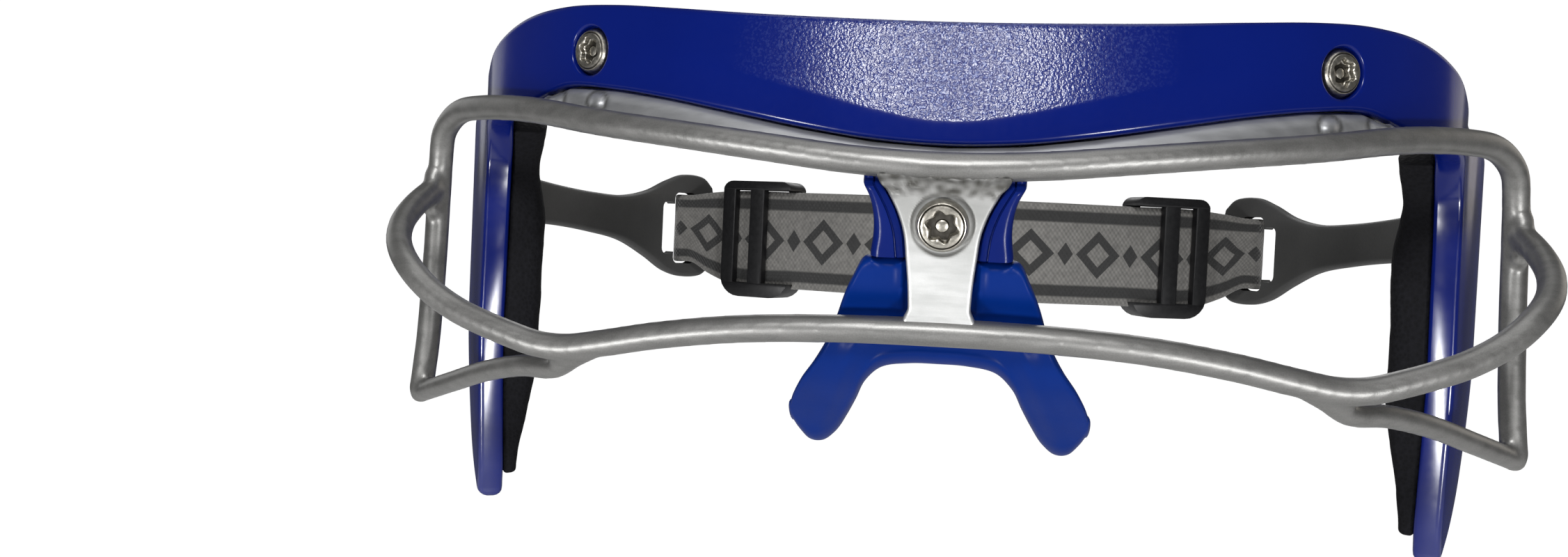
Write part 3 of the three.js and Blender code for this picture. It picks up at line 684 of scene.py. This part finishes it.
def band_ring(row, outline, start=0.0, inset=0.0, front_lean=True):
    """One section of the band: an outline laid from the window edge to the outer edge."""
    window, outer = WINDOW_LINE[row], OUTER_LINE[row]
    run = outer - window
    share = (outline[:, 0] + inset) / np.linalg.norm(run)
    arc = window[0] + run[0] * share
    z = window[1] + run[1] * share
    depth = outline[:, 1] + start
    if front_lean:
        above = z - facet_foot(arc)
        rounded_above = (above + np.sqrt(above**2 + 0.25)) / 2
        lean = FACET_LEAN * rounded_above * (1 - smoothstep(44, 64, abs(arc)))
        depth = depth + lean * np.clip(1 - outline[:, 1] / SHELL_THICK, 0, 1)
    return on_shell(arc, z, depth)


def band_width(row):
    return float(np.linalg.norm(OUTER_LINE[row] - WINDOW_LINE[row]))


def lug(side, low, high):
    root = on_shell(side * LUG_ROOT, 0, SHELL_THICK / 2)
    middle = ((root[0] + side * PIN[0]) / 2, (root[1] + PIN[1]) / 2 - 0.6, (low + high) / 2)
    eye = barrel(KNUCKLE_R, low, high, 0.5, 0.15)
    return [
        turned("lug_eye", eye, (side * PIN[0], PIN[1], 0), UPRIGHT),
        block("lug_neck", (4, 9, high - low), 0, middle, 0.4),
    ]


def make_shell():
    rings = []
    for row, (window, outer) in enumerate(zip(WINDOW_LINE, OUTER_LINE)):
        leg = float(smoothstep(84, 97, abs(window[0])))
        crease = (facet_foot(window[0]) - window[1]) / max(outer[1] - window[1], 1)
        crease = 0.5 if leg else float(np.clip(crease, 0.15, 0.85))
        outline = rounded(band_width(row), SHELL_THICK, 0.8 + 0.1 * leg, 0.6 + 0.1 * leg, 25, crease)
        rings.append(band_ring(row, outline))
    shell = skin("brow_shell", domed(rings, 1.6))
    top, foot = KNUCKLE[1] + GAP, KNUCKLE[0] - GAP
    arc, z = BROW_SCREW_AT
    for side, _ in SIDES:
        combine(shell, lug(side, top, top + LUG_HEIGHT) + lug(side, foot - LUG_HEIGHT, foot), "UNION")
        cutter = turned("well", WELL, on_shell(side * arc, z, 0), outward_at(side * arc), 64)
        combine(shell, [cutter], "DIFFERENCE")
    p = places(shell)
    arc = np.interp(p[:, 0], PLAN[:, 0], PLAN_ARC)
    paint(shell, "above_crease", p[:, 2] - facet_foot(arc))
    paint(shell, "off_middle", abs(arc))
    finish(shell, BLUE, ["frame_shell"], sharp=40)


make_shell()


# ---- wire cage

WIRE_STEP = 0.7
VOXEL = 0.42  # of the remesh that runs the wires together
TOP_FOOT = (86.3, 37.2, -30.8)  # the upper wire's ends are buried in the struts' ends here
LOOP_END = (85.4, 38, 2.4)  # and the lower wire's ends in the upper wire here
STRUT_ROOT = [(49, 8.3, -19.6), (52.6, 10, -21.4)]
WELDS = [  # right-hand weld: place, size, the way it runs
    ((85.4, 37, 3.6), 1.7, (0, 0.3, 1)),
    ((85.4, 37, 0), 1.5, (0, 0.3, 1)),
    ((54.6, 10.7, -21.4), 1.5, (1, 0.4, -0.2)),
    ((86.3, 37.4, -30.4), 1.7, (0, 0.2, 1)),
]
DIMPLES = [(59.5, 16.5), (51.9, 15.8)]  # in the flange: place across, height


def blended(name, rods, smoothing):
    """Rods run together into one surface whose joints are filleted like welds."""
    points, faces = [], []
    for rings in rods:
        start = sum(len(p) for p in points)
        points.append(rings.reshape(-1, 3))
        faces += [[start + i for i in face] for face in ring_faces(*rings.shape[:2])]
    cage = solid(name, np.vstack(points), faces)
    remesh = cage.modifiers.new("remesh", "REMESH")
    remesh.mode = "VOXEL"
    remesh.voxel_size = VOXEL / 1000
    smooth = cage.modifiers.new("smooth", "SMOOTH")
    smooth.factor = 0.5
    smooth.iterations = smoothing
    settle_modifiers(cage)
    return cage


def bead(centre, size, along):
    """A drop of weld metal."""
    along = np.array(along, float) / np.linalg.norm(along)
    path = np.array(centre) + np.outer(np.linspace(-0.7, 0.7, 5) * size, along)
    return rod(path, size, 14)


def make_cage():
    top_half = [tuple(on_shell(arc, z, -WIRE_OUT)) for arc, z in TOP_BAR] + TOP_BEND + [TOP_FOOT]
    loop_half = LOWER_BAR + [LOOP_END]
    wires = [through(both_sides(half), 30) for half in (top_half, loop_half)]
    rods = [rod(spaced(wire, WIRE_STEP), WIRE_R) for wire in wires]
    for side, _ in SIDES:
        strut = through([(side * x, y, z) for x, y, z in STRUT_ROOT + STRUT], 30)
        rods.append(rod(spaced(strut, WIRE_STEP), STRUT_R))
        for (x, y, z), size, (dx, dy, dz) in WELDS:
            rods.append(bead((side * x, y, z), size, (side * dx, dy, dz)))
    nodes = ["upper_wire", "lower_wire", "left_strut", "right_strut"]
    finish(blended("wire_cage", rods, 7), SILVER, nodes, sharp=80)


def make_flange():
    """A sheet that rises from the upper wire, passes under the brow's edge and goes up behind it."""
    wall = SHELL_THICK + GAP + FLANGE_THICK / 2
    rings = []
    for arc in np.linspace(-FLANGE_END, FLANGE_END, 265):
        lines = (TOP_BAR, WINDOW_EDGE, OUTER_EDGE)
        wire, lower, upper = (np.interp(abs(arc), *zip(*line)) for line in lines)
        bend = through([
            (0.2, wire), (0.35, wire + 1.4), (1.5, lower - 0.78), (wall - 0.9, lower - 0.7),
            (wall, lower + 0.3), (wall, lower + 2), (wall, upper - FLANGE_TOP),
        ], 8)
        slope = np.gradient(bend, axis=0)
        slope /= np.linalg.norm(slope, axis=1)[:, None]
        across = np.column_stack([slope[:, 1], -slope[:, 0]]) * FLANGE_THICK / 2
        line = np.vstack([bend - across, (bend + across)[::-1]])
        rings.append(on_shell(arc, line[:, 1], line[:, 0]))
    rings = np.array(rings)
    front = rings[:, :rings.shape[1] // 2]
    for x, z in DIMPLES:
        for side, _ in SIDES:
            reach = np.hypot(front[..., 0] - side * x, front[..., 2] - z)
            rise = 0.75 * (1 - smoothstep(0.2, 1.5, reach))
            rise -= 0.2 * smoothstep(1.2, 1.6, reach) * (reach < 2.1)
            front[..., 1] -= rise * 0.9
            front[..., 2] -= rise * 0.3
    flange = skin("cage_flange", rings)
    p = places(flange)
    reach = np.min([np.hypot(abs(p[:, 0]) - x, p[:, 2] - z) for x, z in DIMPLES], axis=0)
    # A ring of painted shade round each dimple.
    paint(flange, "shade_and_burn", 0.8 * hill(reach, 1.7, 0.35))
    finish(flange, LIT_SHEET_SILVER, ["brow_flange"], sharp=60)


make_cage()
make_flange()


# ---- screws and nuts

HEAD_SIDES = 96
HEAD_ROWS = [  # share of the radius, share of the height, how far it is lobed
    (0.26, 0.32, 0), (0.47, 0.32, 1), (0.52, 0.4, 1), (0.54, 0.86, 1), (0.57, 0.93, 0.8),
    (0.63, 0.97, 0.3), (0.7, 0.97, 0), (0.78, 0.93, 0), (0.815, 0.84, 0), (0.835, 0.72, 0),
    (0.85, 0.84, 0), (0.885, 0.82, 0), (0.94, 0.68, 0), (0.98, 0.48, 0), (1, 0.28, 0), (1, 0.05, 0),
    (0.985, 0, 0),
]
NUT_SIDES = 72
NUT_ROWS = [  # share of the radius, share of the length, whether it is hexagonal
    (0.52, 0.35, 0), (0.6, 0, 0), (0.86, 0, 0), (1, 0.14, 1),
    (1, 0.86, 1), (0.86, 1, 0), (0.6, 1, 0), (0.52, 0.65, 0),
]
BROW_SEAT = 1.25  # depth of the brow screws' seats behind the shell's surface


def recess_shade_at(r):
    """How dark the painted shade is in the recess, in the groove round it and at the rim."""
    if 0.25 <= r <= 0.5:
        return 0.85
    if 0.8 <= r <= 0.84:
        return 0.6
    return 0.25 if r >= 0.98 else 0.0


def screw(name, centre, outward, head_r, head_tall, shank_long, node, pin_tall=0.55):
    """A pan head with a six-lobed recess and the pin in its middle, seated at the centre point."""
    pin = [(0.004, pin_tall), (0.13, pin_tall), (0.22, pin_tall - 0.07), (0.25, pin_tall - 0.2)]
    head = [(r, h, 0) for r, h in pin] + HEAD_ROWS
    shank = [(SHANK_R, 0), (SHANK_R, 0.4 - shank_long), (SHANK_R - 0.4, -shank_long)]
    lobes = 0.13 * np.cos(6 * around(HEAD_SIDES))
    rows = [(head_r * r * (1 + lobed * lobes), head_tall * h) for r, h, lobed in head] + shank
    obj = skin(name, rings_about(centre, outward, rows, HEAD_SIDES))
    # The recess, the groove round it and the rim are darkened with painted shade.
    painted_shade = [recess_shade_at(r) for r, _, _ in head] + [0.0] * len(shank)
    paint(obj, "shade_and_burn", np.repeat(painted_shade, HEAD_SIDES))
    finish(obj, STEEL, [node], sharp=32)


def nut(name, centre, inward, node):
    """A hexagonal nut with turned corners, open where the shank's end shows."""
    flats = math.cos(math.pi / 6) / np.cos((around(NUT_SIDES) % (math.pi / 3)) - math.pi / 6)
    rows = [(NUT_R * r * (flats if hexagon else 1), NUT_LONG * h) for r, h, hexagon in NUT_ROWS]
    rings = rings_about(centre, inward, rows, NUT_SIDES)
    faces = ring_faces(len(rings), NUT_SIDES)[:-2]
    last = (len(rings) - 1) * NUT_SIDES
    for i in range(NUT_SIDES):
        j = (i + 1) % NUT_SIDES
        faces.append((last + i, last + j, j, i))
    finish(solid(name, np.concatenate(rings), faces), STEEL, [node], sharp=28)


for side, label in SIDES:
    arc, z = BROW_SCREW_AT
    out = outward_at(side * arc)
    seat = on_shell(side * arc, z, BROW_SEAT)
    screw(f"{label}_brow_screw_head", seat, out, BROW_HEAD_R, 1.5, 7.4, f"{label}_brow_screw", 0.4)
    nut(f"{label}_brow_hex_nut", on_shell(side * arc, z, NUT_START), -out, f"{label}_brow_nut")

NOSE_OUT = Vector(tilted((0, -1, 0)))
NOSE_SEAT = tilted((0, -PLATE_THICK / 2 - 0.05, 0))
screw("nose_pan_screw", NOSE_SEAT, NOSE_OUT, NOSE_HEAD_R, 1.9, 8.4, "nose_screw")
nut("nose_hex_nut", tilted((0, BRACKET_BACK + GAP, 0)), -NOSE_OUT, "nose_nut")


# ---- nose plate, bracket and pad

PLATE_LINE, HORN_LINE = (through(edge, 10)[::-1] for edge in (PLATE_EDGE, HORN_EDGE))
HORN_TOP = 6.9
HORN_FOOT = -4.95
HORN_GROOVE = ((0.85, 0.3), (0.92, 0.55), (1.05, 0.5), (1.15, 0))  # place beside the plate, depth
TONGUE = (8.4, 3.5, 7.4)
SPINE = ((-33, -22, -10), (18.4, 13.6, 8.2))  # the lobes' ridge: heights, places across


def half_at(line, z):
    return np.interp(z, line[:, 1], line[:, 0])


def make_plate():
    """Dished round the screw, swollen at both ends towards the wires, rough and burnt at its top, and
    darkened there, round the dish and at its sides with painted shade.
    """
    rings, shade_and_burn_rows = [], []
    for z in np.arange(6.7, -14.3, -0.25):
        half = half_at(PLATE_LINE, z)
        half += 0.9 * float(smoothstep(4.2, 6.4, z)) + 0.7 * float(smoothstep(-11.6, -13.6, z))
        outline = rounded(2 * half, PLATE_THICK, 0.5, 0.3, 44)
        x = outline[:, 0] - half
        y = outline[:, 1] - PLATE_THICK / 2
        front = outline[:, 1] < 0.3
        reach = np.hypot(x, z)
        dish = 0.32 * (1 - smoothstep(3.9, 4.5, reach))
        fillet = 0.5 * math.exp(-max(0.0, 6.3 - z) / 0.4) + 0.15 * math.exp(-max(0.0, z + 13.2) / 0.3)
        rough = np.array([abs(noise.noise(Vector((a * 0.8, z * 0.9, 3)))) for a in x])
        weld = 0.55 * rough * float(smoothstep(2.9, 4.4, z))
        y = y + np.where(front, dish - weld - fillet, 0)
        rings.append(tilted(np.column_stack([x, y, 0 * x + z])))
        # Mottled burnt weld at the top, made darker so that it also serves as painted shade there.
        cloud = np.array([noise.noise(Vector((a, z, 9))) for a in x])
        weld_burn_and_shade = float(smoothstep(2.4, 4.6, z)) * (0.85 + 0.3 * cloud)
        # Painted shade, darker towards the top.
        shade = 0.5 * float(smoothstep(-8, 2, z))
        # Painted shade in a ring round the dish, and over the sides and back.
        rim = np.where(front, hill(reach, 4.3, 0.35), 0.6)
        shade_and_burn_rows.append(np.clip(np.maximum(np.maximum(weld_burn_and_shade, shade), 0.7 * rim), 0, 1))
    plate = skin("nose_mount_plate", rings)
    paint(plate, "shade_and_burn", np.concatenate(shade_and_burn_rows))
    finish(plate, LIT_PLATE_SILVER, ["nose_plate"], sharp=50)


def make_bracket():
    """Two horns beside the plate, joined behind it, and the tongue below them that enters the pad."""
    rings = []
    quarter = np.linspace(0, math.pi / 2, 6)
    for z in np.concatenate([[HORN_TOP, 6.8], np.arange(6.6, -4.7, -0.3), [-4.8, HORN_FOOT]]):
        pinch = 0.35 if z in (HORN_TOP, HORN_FOOT) else 0.0
        inner = half_at(PLATE_LINE, z) + GAP
        outer = half_at(HORN_LINE, z)
        soft = min(1.3, (outer - inner) * 0.35)
        outer -= pinch
        front = pinch - 0.6 + 1.4 * float(smoothstep(4.6, 5.8, z))
        half = [(0, 1.1), (inner * 0.5, 1.1), (inner - 0.3, 1.1)]
        half += [(inner, max(0.8, front)), (inner, max(0.3, front))]
        half += [(inner + x, front + y) for x, y in HORN_GROOVE]
        half += [(outer - soft + soft * math.sin(a), front + soft - soft * math.cos(a)) for a in quarter]
        half += [(outer, 2.4), (outer, BRACKET_BACK - 0.5)]
        half += [(outer - 0.5, BRACKET_BACK), (0, BRACKET_BACK)]
        ring = [(x, y, z) for x, y in half] + [(-x, y, z) for x, y in reversed(half[1:-1])]
        rings.append(tilted(ring))
    bracket = skin("nose_bracket_horns", rings)
    tongue = block("tongue", TONGUE, 0, (0, (1.1 + BRACKET_BACK) / 2, -6.9), 0.3)
    flat = to_frame(tilted(places(tongue)))
    tongue.data.vertices.foreach_set("co", flat.ravel())
    combine(bracket, [tongue], "UNION")
    finish(bracket, BRACKET_BLUE, ["nose_bracket"], sharp=30)


def make_pad():
    """An arch over the nose and two splayed lobes, with faint ridges, lips and raised corners."""
    front_line = through(PAD_FRONT, 12)
    rings = []
    for x, top, foot in through(both_sides(PAD_STATIONS), 9):
        off = abs(x)
        tall = top - foot
        outline = rounded(tall, PAD_THICK, 1.7, 1.9, 40)
        z = foot + outline[:, 0]
        y = np.interp(z, *front_line.T) + outline[:, 1]
        front = outline[:, 1] < 1.9
        ridge = 0.45 * hill(off, 5.5, 0.35) * smoothstep(-13.5, -11, z)
        gap = -0.8 * smoothstep(4.9, 4.6, off) * smoothstep(-14, -12, z)
        lobe = 0.6 * hill(off, np.interp(z, *SPINE), 1.5) * smoothstep(-12, -17, z)
        lip = 0.35 * hill(outline[:, 0], 1.5, 0.5) * (1 - smoothstep(9, 12, off))
        corner = 0.7 * hill(tall - outline[:, 0], 0.9, 0.6) * hill(off, 9.4, 0.9)
        y = y - np.where(front, ridge + gap + lobe + lip + corner, 0)
        rings.append(np.column_stack([0 * z + x, y, z]))
    finish(skin("nose_saddle_pad", domed(rings, 0.6)), SILICONE, ["nose_pad"], sharp=60)


make_plate()
make_bracket()
make_pad()


# ---- foam pads

def foam(name, rows, start, inset, swell, node, hollows=()):
    """Soft closed-cell foam: crowned on the wearer's side, its edges pulled in and slightly uneven."""
    rings = []
    for row in rows:
        wide = band_width(row) - 2 * inset
        height = OUTER_LINE[row][1]
        full = FOAM + swell * float(smoothstep(12, 0, height))
        thick = full * (1 - 0.7 * float(smoothstep(-22, -48, height)))
        outline = rounded(wide, thick, 0.7, 0.4 * thick, 18)
        crown = 0.55 * np.sin(math.pi * np.clip(outline[:, 0] / wide, 0, 1))
        crown *= outline[:, 1] > thick * 0.6
        outline = outline + np.column_stack([0 * crown, crown])
        rings.append(band_ring(row, outline, start, inset, False))
    pad = skin(name, domed(rings, 1.2))
    p = places(pad)
    wobble = 0.22 * lumps(p, 6, 2) + 0.07 * lumps(p, 1.6, 5)
    normals = np.zeros(len(pad.data.vertices) * 3)
    pad.data.vertex_normals.foreach_get("vector", normals)
    moved = p + normals.reshape(-1, 3) * wobble[:, None]
    pad.data.vertices.foreach_set("co", to_frame(moved).ravel())
    combine(pad, hollows, "DIFFERENCE")
    finish(pad, FOAM_SKIN, [node], sharp=55)


def nut_hollows():
    """Cutters that clear the brow foam round the brow screws' nuts."""
    arc, z = BROW_SCREW_AT
    outline = [(0, 2), (NUT_R + 0.5, 2), (NUT_R + 0.5, 10), (0, 10)]
    return [turned("hollow", outline, on_shell(a, z, 0), -outward_at(a)) for a in (-arc, arc)]


BROW_ROWS = range(MIDDLE_ROW - BROW_LAST * STEPS, MIDDLE_ROW + BROW_LAST * STEPS + 1, 2)
RIGHT_ROWS = range(MIDDLE_ROW + LEG_FIRST * STEPS, MIDDLE_ROW + (len(OUTER_EDGE) - 2) * STEPS + 1)
LEFT_ROWS = [2 * MIDDLE_ROW - row for row in RIGHT_ROWS]
foam("brow_foam", BROW_ROWS, BROW_FOAM_START, 1.4, 0, "brow_pad", nut_hollows())
foam("right_side_foam", RIGHT_ROWS, SIDE_FOAM_START, 0.7, SIDE_SWELL, "right_side_pad")
foam("left_side_foam", LEFT_ROWS, SIDE_FOAM_START, 0.7, SIDE_SWELL, "left_side_pad")


# ---- strap arms and their pins

def headings(rows):
    """Directions in plan along rows that start with x and y."""
    heading = np.gradient(rows[:, :2], axis=0)
    return heading / np.linalg.norm(heading, axis=1)[:, None]


def arm_rings():
    """Upright rounded sections along the arm."""
    rows = through(ARM, 8)
    rings = []
    for (x, y, low, high), (hx, hy) in zip(rows, headings(rows)):
        outline = rounded(high - low, ARM_THICK, 0.9, 0.9, 16)
        shift = outline[:, 1] - ARM_THICK / 2
        rings.append(np.column_stack([x - hy * shift, y + hx * shift, low + outline[:, 0]]))
    return rings


def make_arm(side, label):
    arm = skin("right_strap_arm", domed(arm_rings(), 0.7, 3))
    knuckle = turned("knuckle", barrel(KNUCKLE_R, *KNUCKLE, 0.4, 0.1), (*PIN, 0), UPRIGHT)
    combine(arm, [knuckle], "UNION")
    heading = math.atan2(BAR_CENTRE[1] - SLOT_CENTRE[1], BAR_CENTRE[0] - SLOT_CENTRE[0])
    shift = -EASE_SHIFT * np.array((math.cos(heading), math.sin(heading)))
    for (wide, tall), at in ((SLOT, SLOT_CENTRE), (SLOT_EASE, SLOT_CENTRE + shift)):
        cutter = block("slot", (wide, 12, tall), heading, (*at, SLOT_Z), 1.3, 5)
        combine(arm, [cutter], "DIFFERENCE")
    arm = on_side(side, arm, "left_strap_arm")
    finish(arm, ARM_RUBBER, [f"{label}_arm"], f"{label}_arm", 38)


def make_pin(side, label):
    low, high = KNUCKLE[0] - GAP - LUG_HEIGHT, KNUCKLE[1] + GAP + LUG_HEIGHT
    outline = [
        (0, low - 0.75), (0.9, low - 0.65), (1.5, low - 0.35), (1.6, low + 0.05),
        (PIN_R, low + 0.1), (PIN_R, high - 0.1),
        (1.6, high - 0.05), (1.5, high + 0.35), (0.9, high + 0.65), (0, high + 0.75),
    ]
    pin = turned(f"{label}_hinge_pin", outline, (side * PIN[0], PIN[1], 0), UPRIGHT)
    finish(pin, STEEL, [f"{label}_arm_pin"])


for side, label in SIDES:
    make_arm(side, label)
    make_pin(side, label)


# ---- strap

LEFT_PLEATS = 1.5
RIGHT_PLEATS = 3
PLEAT_DEEP = 0.5
SWAY = 0.16  # the open strap waves by this much


def ribbon(name, rows, open_width):
    """Flat webbing that stands upright on its plan line and gathers into pleats where it is bunched."""
    rows = spaced(np.column_stack([rows[:, :2], 0 * rows[:, 0], rows[:, 2]]), 0.8)
    along = lengths(rows[:, :2])
    rings, marks = [], []
    for (x, y, _, share), (hx, hy), at in zip(rows, headings(rows), along):
        wide = open_width + (LOOP_WIDE - open_width) * share
        middle = STRAP_Z + (SLOT_Z - STRAP_Z) * share
        outline = rounded(wide, WEB, 0.5, 0.5, 40)
        place = outline[:, 0] / wide - 0.5
        count = RIGHT_PLEATS if x > 0 else LEFT_PLEATS
        calm = 1 - 0.75 * hill(math.hypot(abs(x) - SLOT_CENTRE[0], y - SLOT_CENTRE[1]), 0, 2.4)
        wave = PLEAT_DEEP * share * calm * hx * hx * np.sin(2 * math.pi * count * place + 0.6)
        shift = outline[:, 1] - WEB / 2 + wave + SWAY * math.sin(at / 5.1) * (1 - share)
        z = middle + outline[:, 0] - wide / 2
        rings.append(np.column_stack([x - hy * shift, y + hx * shift, z]))
        marks.append(np.column_stack([0 * z + at, place * WEB_WIDE]))
    strap = skin(name, rings)
    marks = np.concatenate(marks)
    paint(strap, "along", marks[:, 0] - along[-1] / 2)
    paint(strap, "across", marks[:, 1])
    return strap


strap = ribbon("head_strap", through(both_sides(STRAP_HALF), 12), WEB_WIDE)
finish(strap, WEBBING, ["strap_webbing"], "strap", 60)

for side, label in SIDES:
    rows = through([(side * x, y, share) for x, y, share in TAIL], 12)
    tail = ribbon(f"{label}_strap_end", rows, WEB_WIDE - 1)
    finish(tail, WEBBING, [f"{label}_strap_tail"], None, 60)
    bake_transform(tail)


# ---- sliders

SLIDER_BARS = ((-1, 1, 3.2), (0, -1, 3.4), (1, -1, 3))  # place along, side of the webbing, width
BAR_THICK = 2.05
BAR_OFF = 2.1  # the bars' middles lie this far from the webbing's
TOP_RAIL = 1.9
FOOT_RAIL = 3
OUTLINE_DEEP = 8  # more than the slider's, as it only cuts the silhouette
SLIDER_BEVEL = 0.4
TRIM = 0.05  # parts that would share a face are this much apart
CORNER_TOP = 2.4
CORNER_FOOT = 4.6


def slider_outline():
    """A rounded silhouette along and up, its foot curved more deeply than its top."""
    x, z = SLIDER_LONG / 2 - TRIM, SLIDER_TALL / 2 - TRIM
    corners = [(x, z, CORNER_TOP), (-x, z, CORNER_TOP), (-x, -z, CORNER_FOOT), (x, -z, CORNER_FOOT)]
    points = []
    for start, (x, z, r) in zip((0, 90, 180, 270), corners):
        middle = Vector((x - math.copysign(r, x), z - math.copysign(r, z)))
        for a in np.radians(np.linspace(start, start + 90, 7)):
            points.append(middle + r * Vector((math.cos(a), math.sin(a))))
    return points


def make_slider(side, label):
    """Ladder slider: one bar behind the webbing, two in front, and a deeper rail along the foot."""
    turn = Matrix.Rotation(SLIDER_HEADING, 4, "Z")
    centre = Vector(SLIDER_AT)

    def part(size, at):
        return block("part", size, SLIDER_HEADING, centre + turn @ Vector(at), 0.3)

    outline = slider_outline()
    ends = (-OUTLINE_DEEP / 2, OUTLINE_DEEP / 2)
    rings = [[centre + turn @ Vector((x, y, z)) for x, z in outline] for y in ends]
    slider = skin("right_strap_slider", rings)
    whole = part((SLIDER_LONG, SLIDER_DEEP, TOP_RAIL), (0, 0, (SLIDER_TALL - TOP_RAIL) / 2))
    parts = [part((SLIDER_LONG, SLIDER_DEEP, FOOT_RAIL), (0, 0, (FOOT_RAIL - SLIDER_TALL) / 2))]
    for place, face, wide in SLIDER_BARS:
        at = (place * (SLIDER_LONG - 2 * TRIM - wide) / 2, face * BAR_OFF, 0)
        parts.append(part((wide, BAR_THICK, SLIDER_TALL - 2 * TRIM), at))
    combine(whole, parts, "UNION")
    combine(slider, [whole], "INTERSECT")
    soften = slider.modifiers.new("soften", "BEVEL")
    soften.width = SLIDER_BEVEL / 1000
    soften.segments = 2
    soften.limit_method = "ANGLE"
    soften.angle_limit = math.radians(50)
    settle_modifiers(slider)
    slider = on_side(side, slider, "left_strap_slider")
    finish(slider, BLACK, [f"{label}_slider"], f"{label}_slider", 38)


for side, label in SIDES:
    make_slider(side, label)


# ---- camera. From here on lengths are metres in the row frame.

YAW, PITCH, ROLL = (math.radians(a) for a in (7.82, 1.91, 2.59))
CAMERA_AT = Vector((0.0069, -0.2138, 0.0181))
FOCAL_MM = 34.75
SENSOR_MM = 36


def make_camera():
    level = Vector((-math.sin(YAW), math.cos(YAW), 0))
    forward = level * math.cos(PITCH) - Vector(UPRIGHT) * math.sin(PITCH)
    up = level * math.sin(PITCH) + Vector(UPRIGHT) * math.cos(PITCH)
    right = Vector((math.cos(YAW), math.sin(YAW), 0))
    cam_x = right * math.cos(ROLL) + up * math.sin(ROLL)
    cam_y = up * math.cos(ROLL) - right * math.sin(ROLL)
    data = bpy.data.cameras.new("camera")
    data.sensor_fit = "HORIZONTAL"
    data.sensor_width = SENSOR_MM
    data.lens = FOCAL_MM
    data.clip_start = 0.005
    camera = added("camera", data)
    turn = Matrix((cam_x, cam_y, -forward)).transposed()
    camera.matrix_world = Matrix.Translation(CAMERA_AT) @ turn.to_4x4()
    bpy.context.scene.camera = camera


make_camera()


# ---- light, floor and backdrop

AIM = Vector((0, 0.02, 0.02))
WHITE = (1, 1, 1)
LIGHTS = [  # name, elevation, azimuth (0 is in front), distance, size, watts, colour
    ("key", 28, -3, 0.7, 0.16, 3.2, WHITE),
    ("low_left", -18.6, -34.3, 0.45, 0.07, 0.9, WHITE),
    ("low_right", -18.5, 30.8, 0.45, 0.07, 0.9, WHITE),
    ("overhead", 82, 0, 0.8, 0.7, 1.6, WHITE),
    ("left_fill", 16, -122, 0.9, 0.5, 0.6, WHITE),
    ("right_fill", 16, 122, 0.9, 0.5, 0.6, (1, 0.93, 0.84)),
    ("rear_fill", 35, 180, 1, 0.6, 2, WHITE),
]
FLOOR_Z = -0.25
FLOOR_R = 0.95
DOME_R = 6
PAPER = (0.36, 0.36, 0.36)
WORLD_STRENGTH = 0.1


def area_light(name, elevation, azimuth, distance, size, watts, color):
    """A soft light aimed at the brow, placed by its angles as seen from there."""
    e, a = math.radians(elevation), math.radians(azimuth)
    way = Vector((math.sin(a) * math.cos(e), -math.cos(a) * math.cos(e), math.sin(e)))
    data = bpy.data.lights.new(name, "AREA")
    data.energy = watts
    data.color = color
    data.shape = "DISK"
    data.size = size
    light = added(name, data)
    light.location = AIM + way * distance
    light.rotation_euler = (-way).to_track_quat("-Z", "Y").to_euler()


def paper(name, glow):
    look = Look(name, Base_Color=PAPER, Roughness=0.8, Emission_Color=WHITE, Emission_Strength=glow)
    return look.material


def make_stage():
    """A pale floor, and round it a bright dome that only the camera sees."""
    at = (0, 0, FLOOR_Z)
    bpy.ops.mesh.primitive_circle_add(vertices=96, radius=FLOOR_R, fill_type="NGON", location=at)
    floor = bpy.context.object
    floor.name = "floor"
    floor.data.materials.append(paper("floor_paper", 0.4))
    bpy.ops.mesh.primitive_uv_sphere_add(segments=48, ring_count=24, radius=DOME_R)
    dome = bpy.context.object
    dome.name = "backdrop"
    dome.data.materials.append(paper("backdrop_paper", 1))
    for kind in ("diffuse", "glossy", "transmission", "shadow"):
        setattr(dome, "visible_" + kind, False)


def make_world():
    world = bpy.data.worlds.new("world")
    world.use_nodes = True
    background = world.node_tree.nodes["Background"]
    background.inputs["Color"].default_value = (*WHITE, 1)
    background.inputs["Strength"].default_value = WORLD_STRENGTH
    bpy.context.scene.world = world
    bpy.context.scene.view_settings.view_transform = "Standard"


for light in LIGHTS:
    area_light(*light)
make_stage()
make_world()
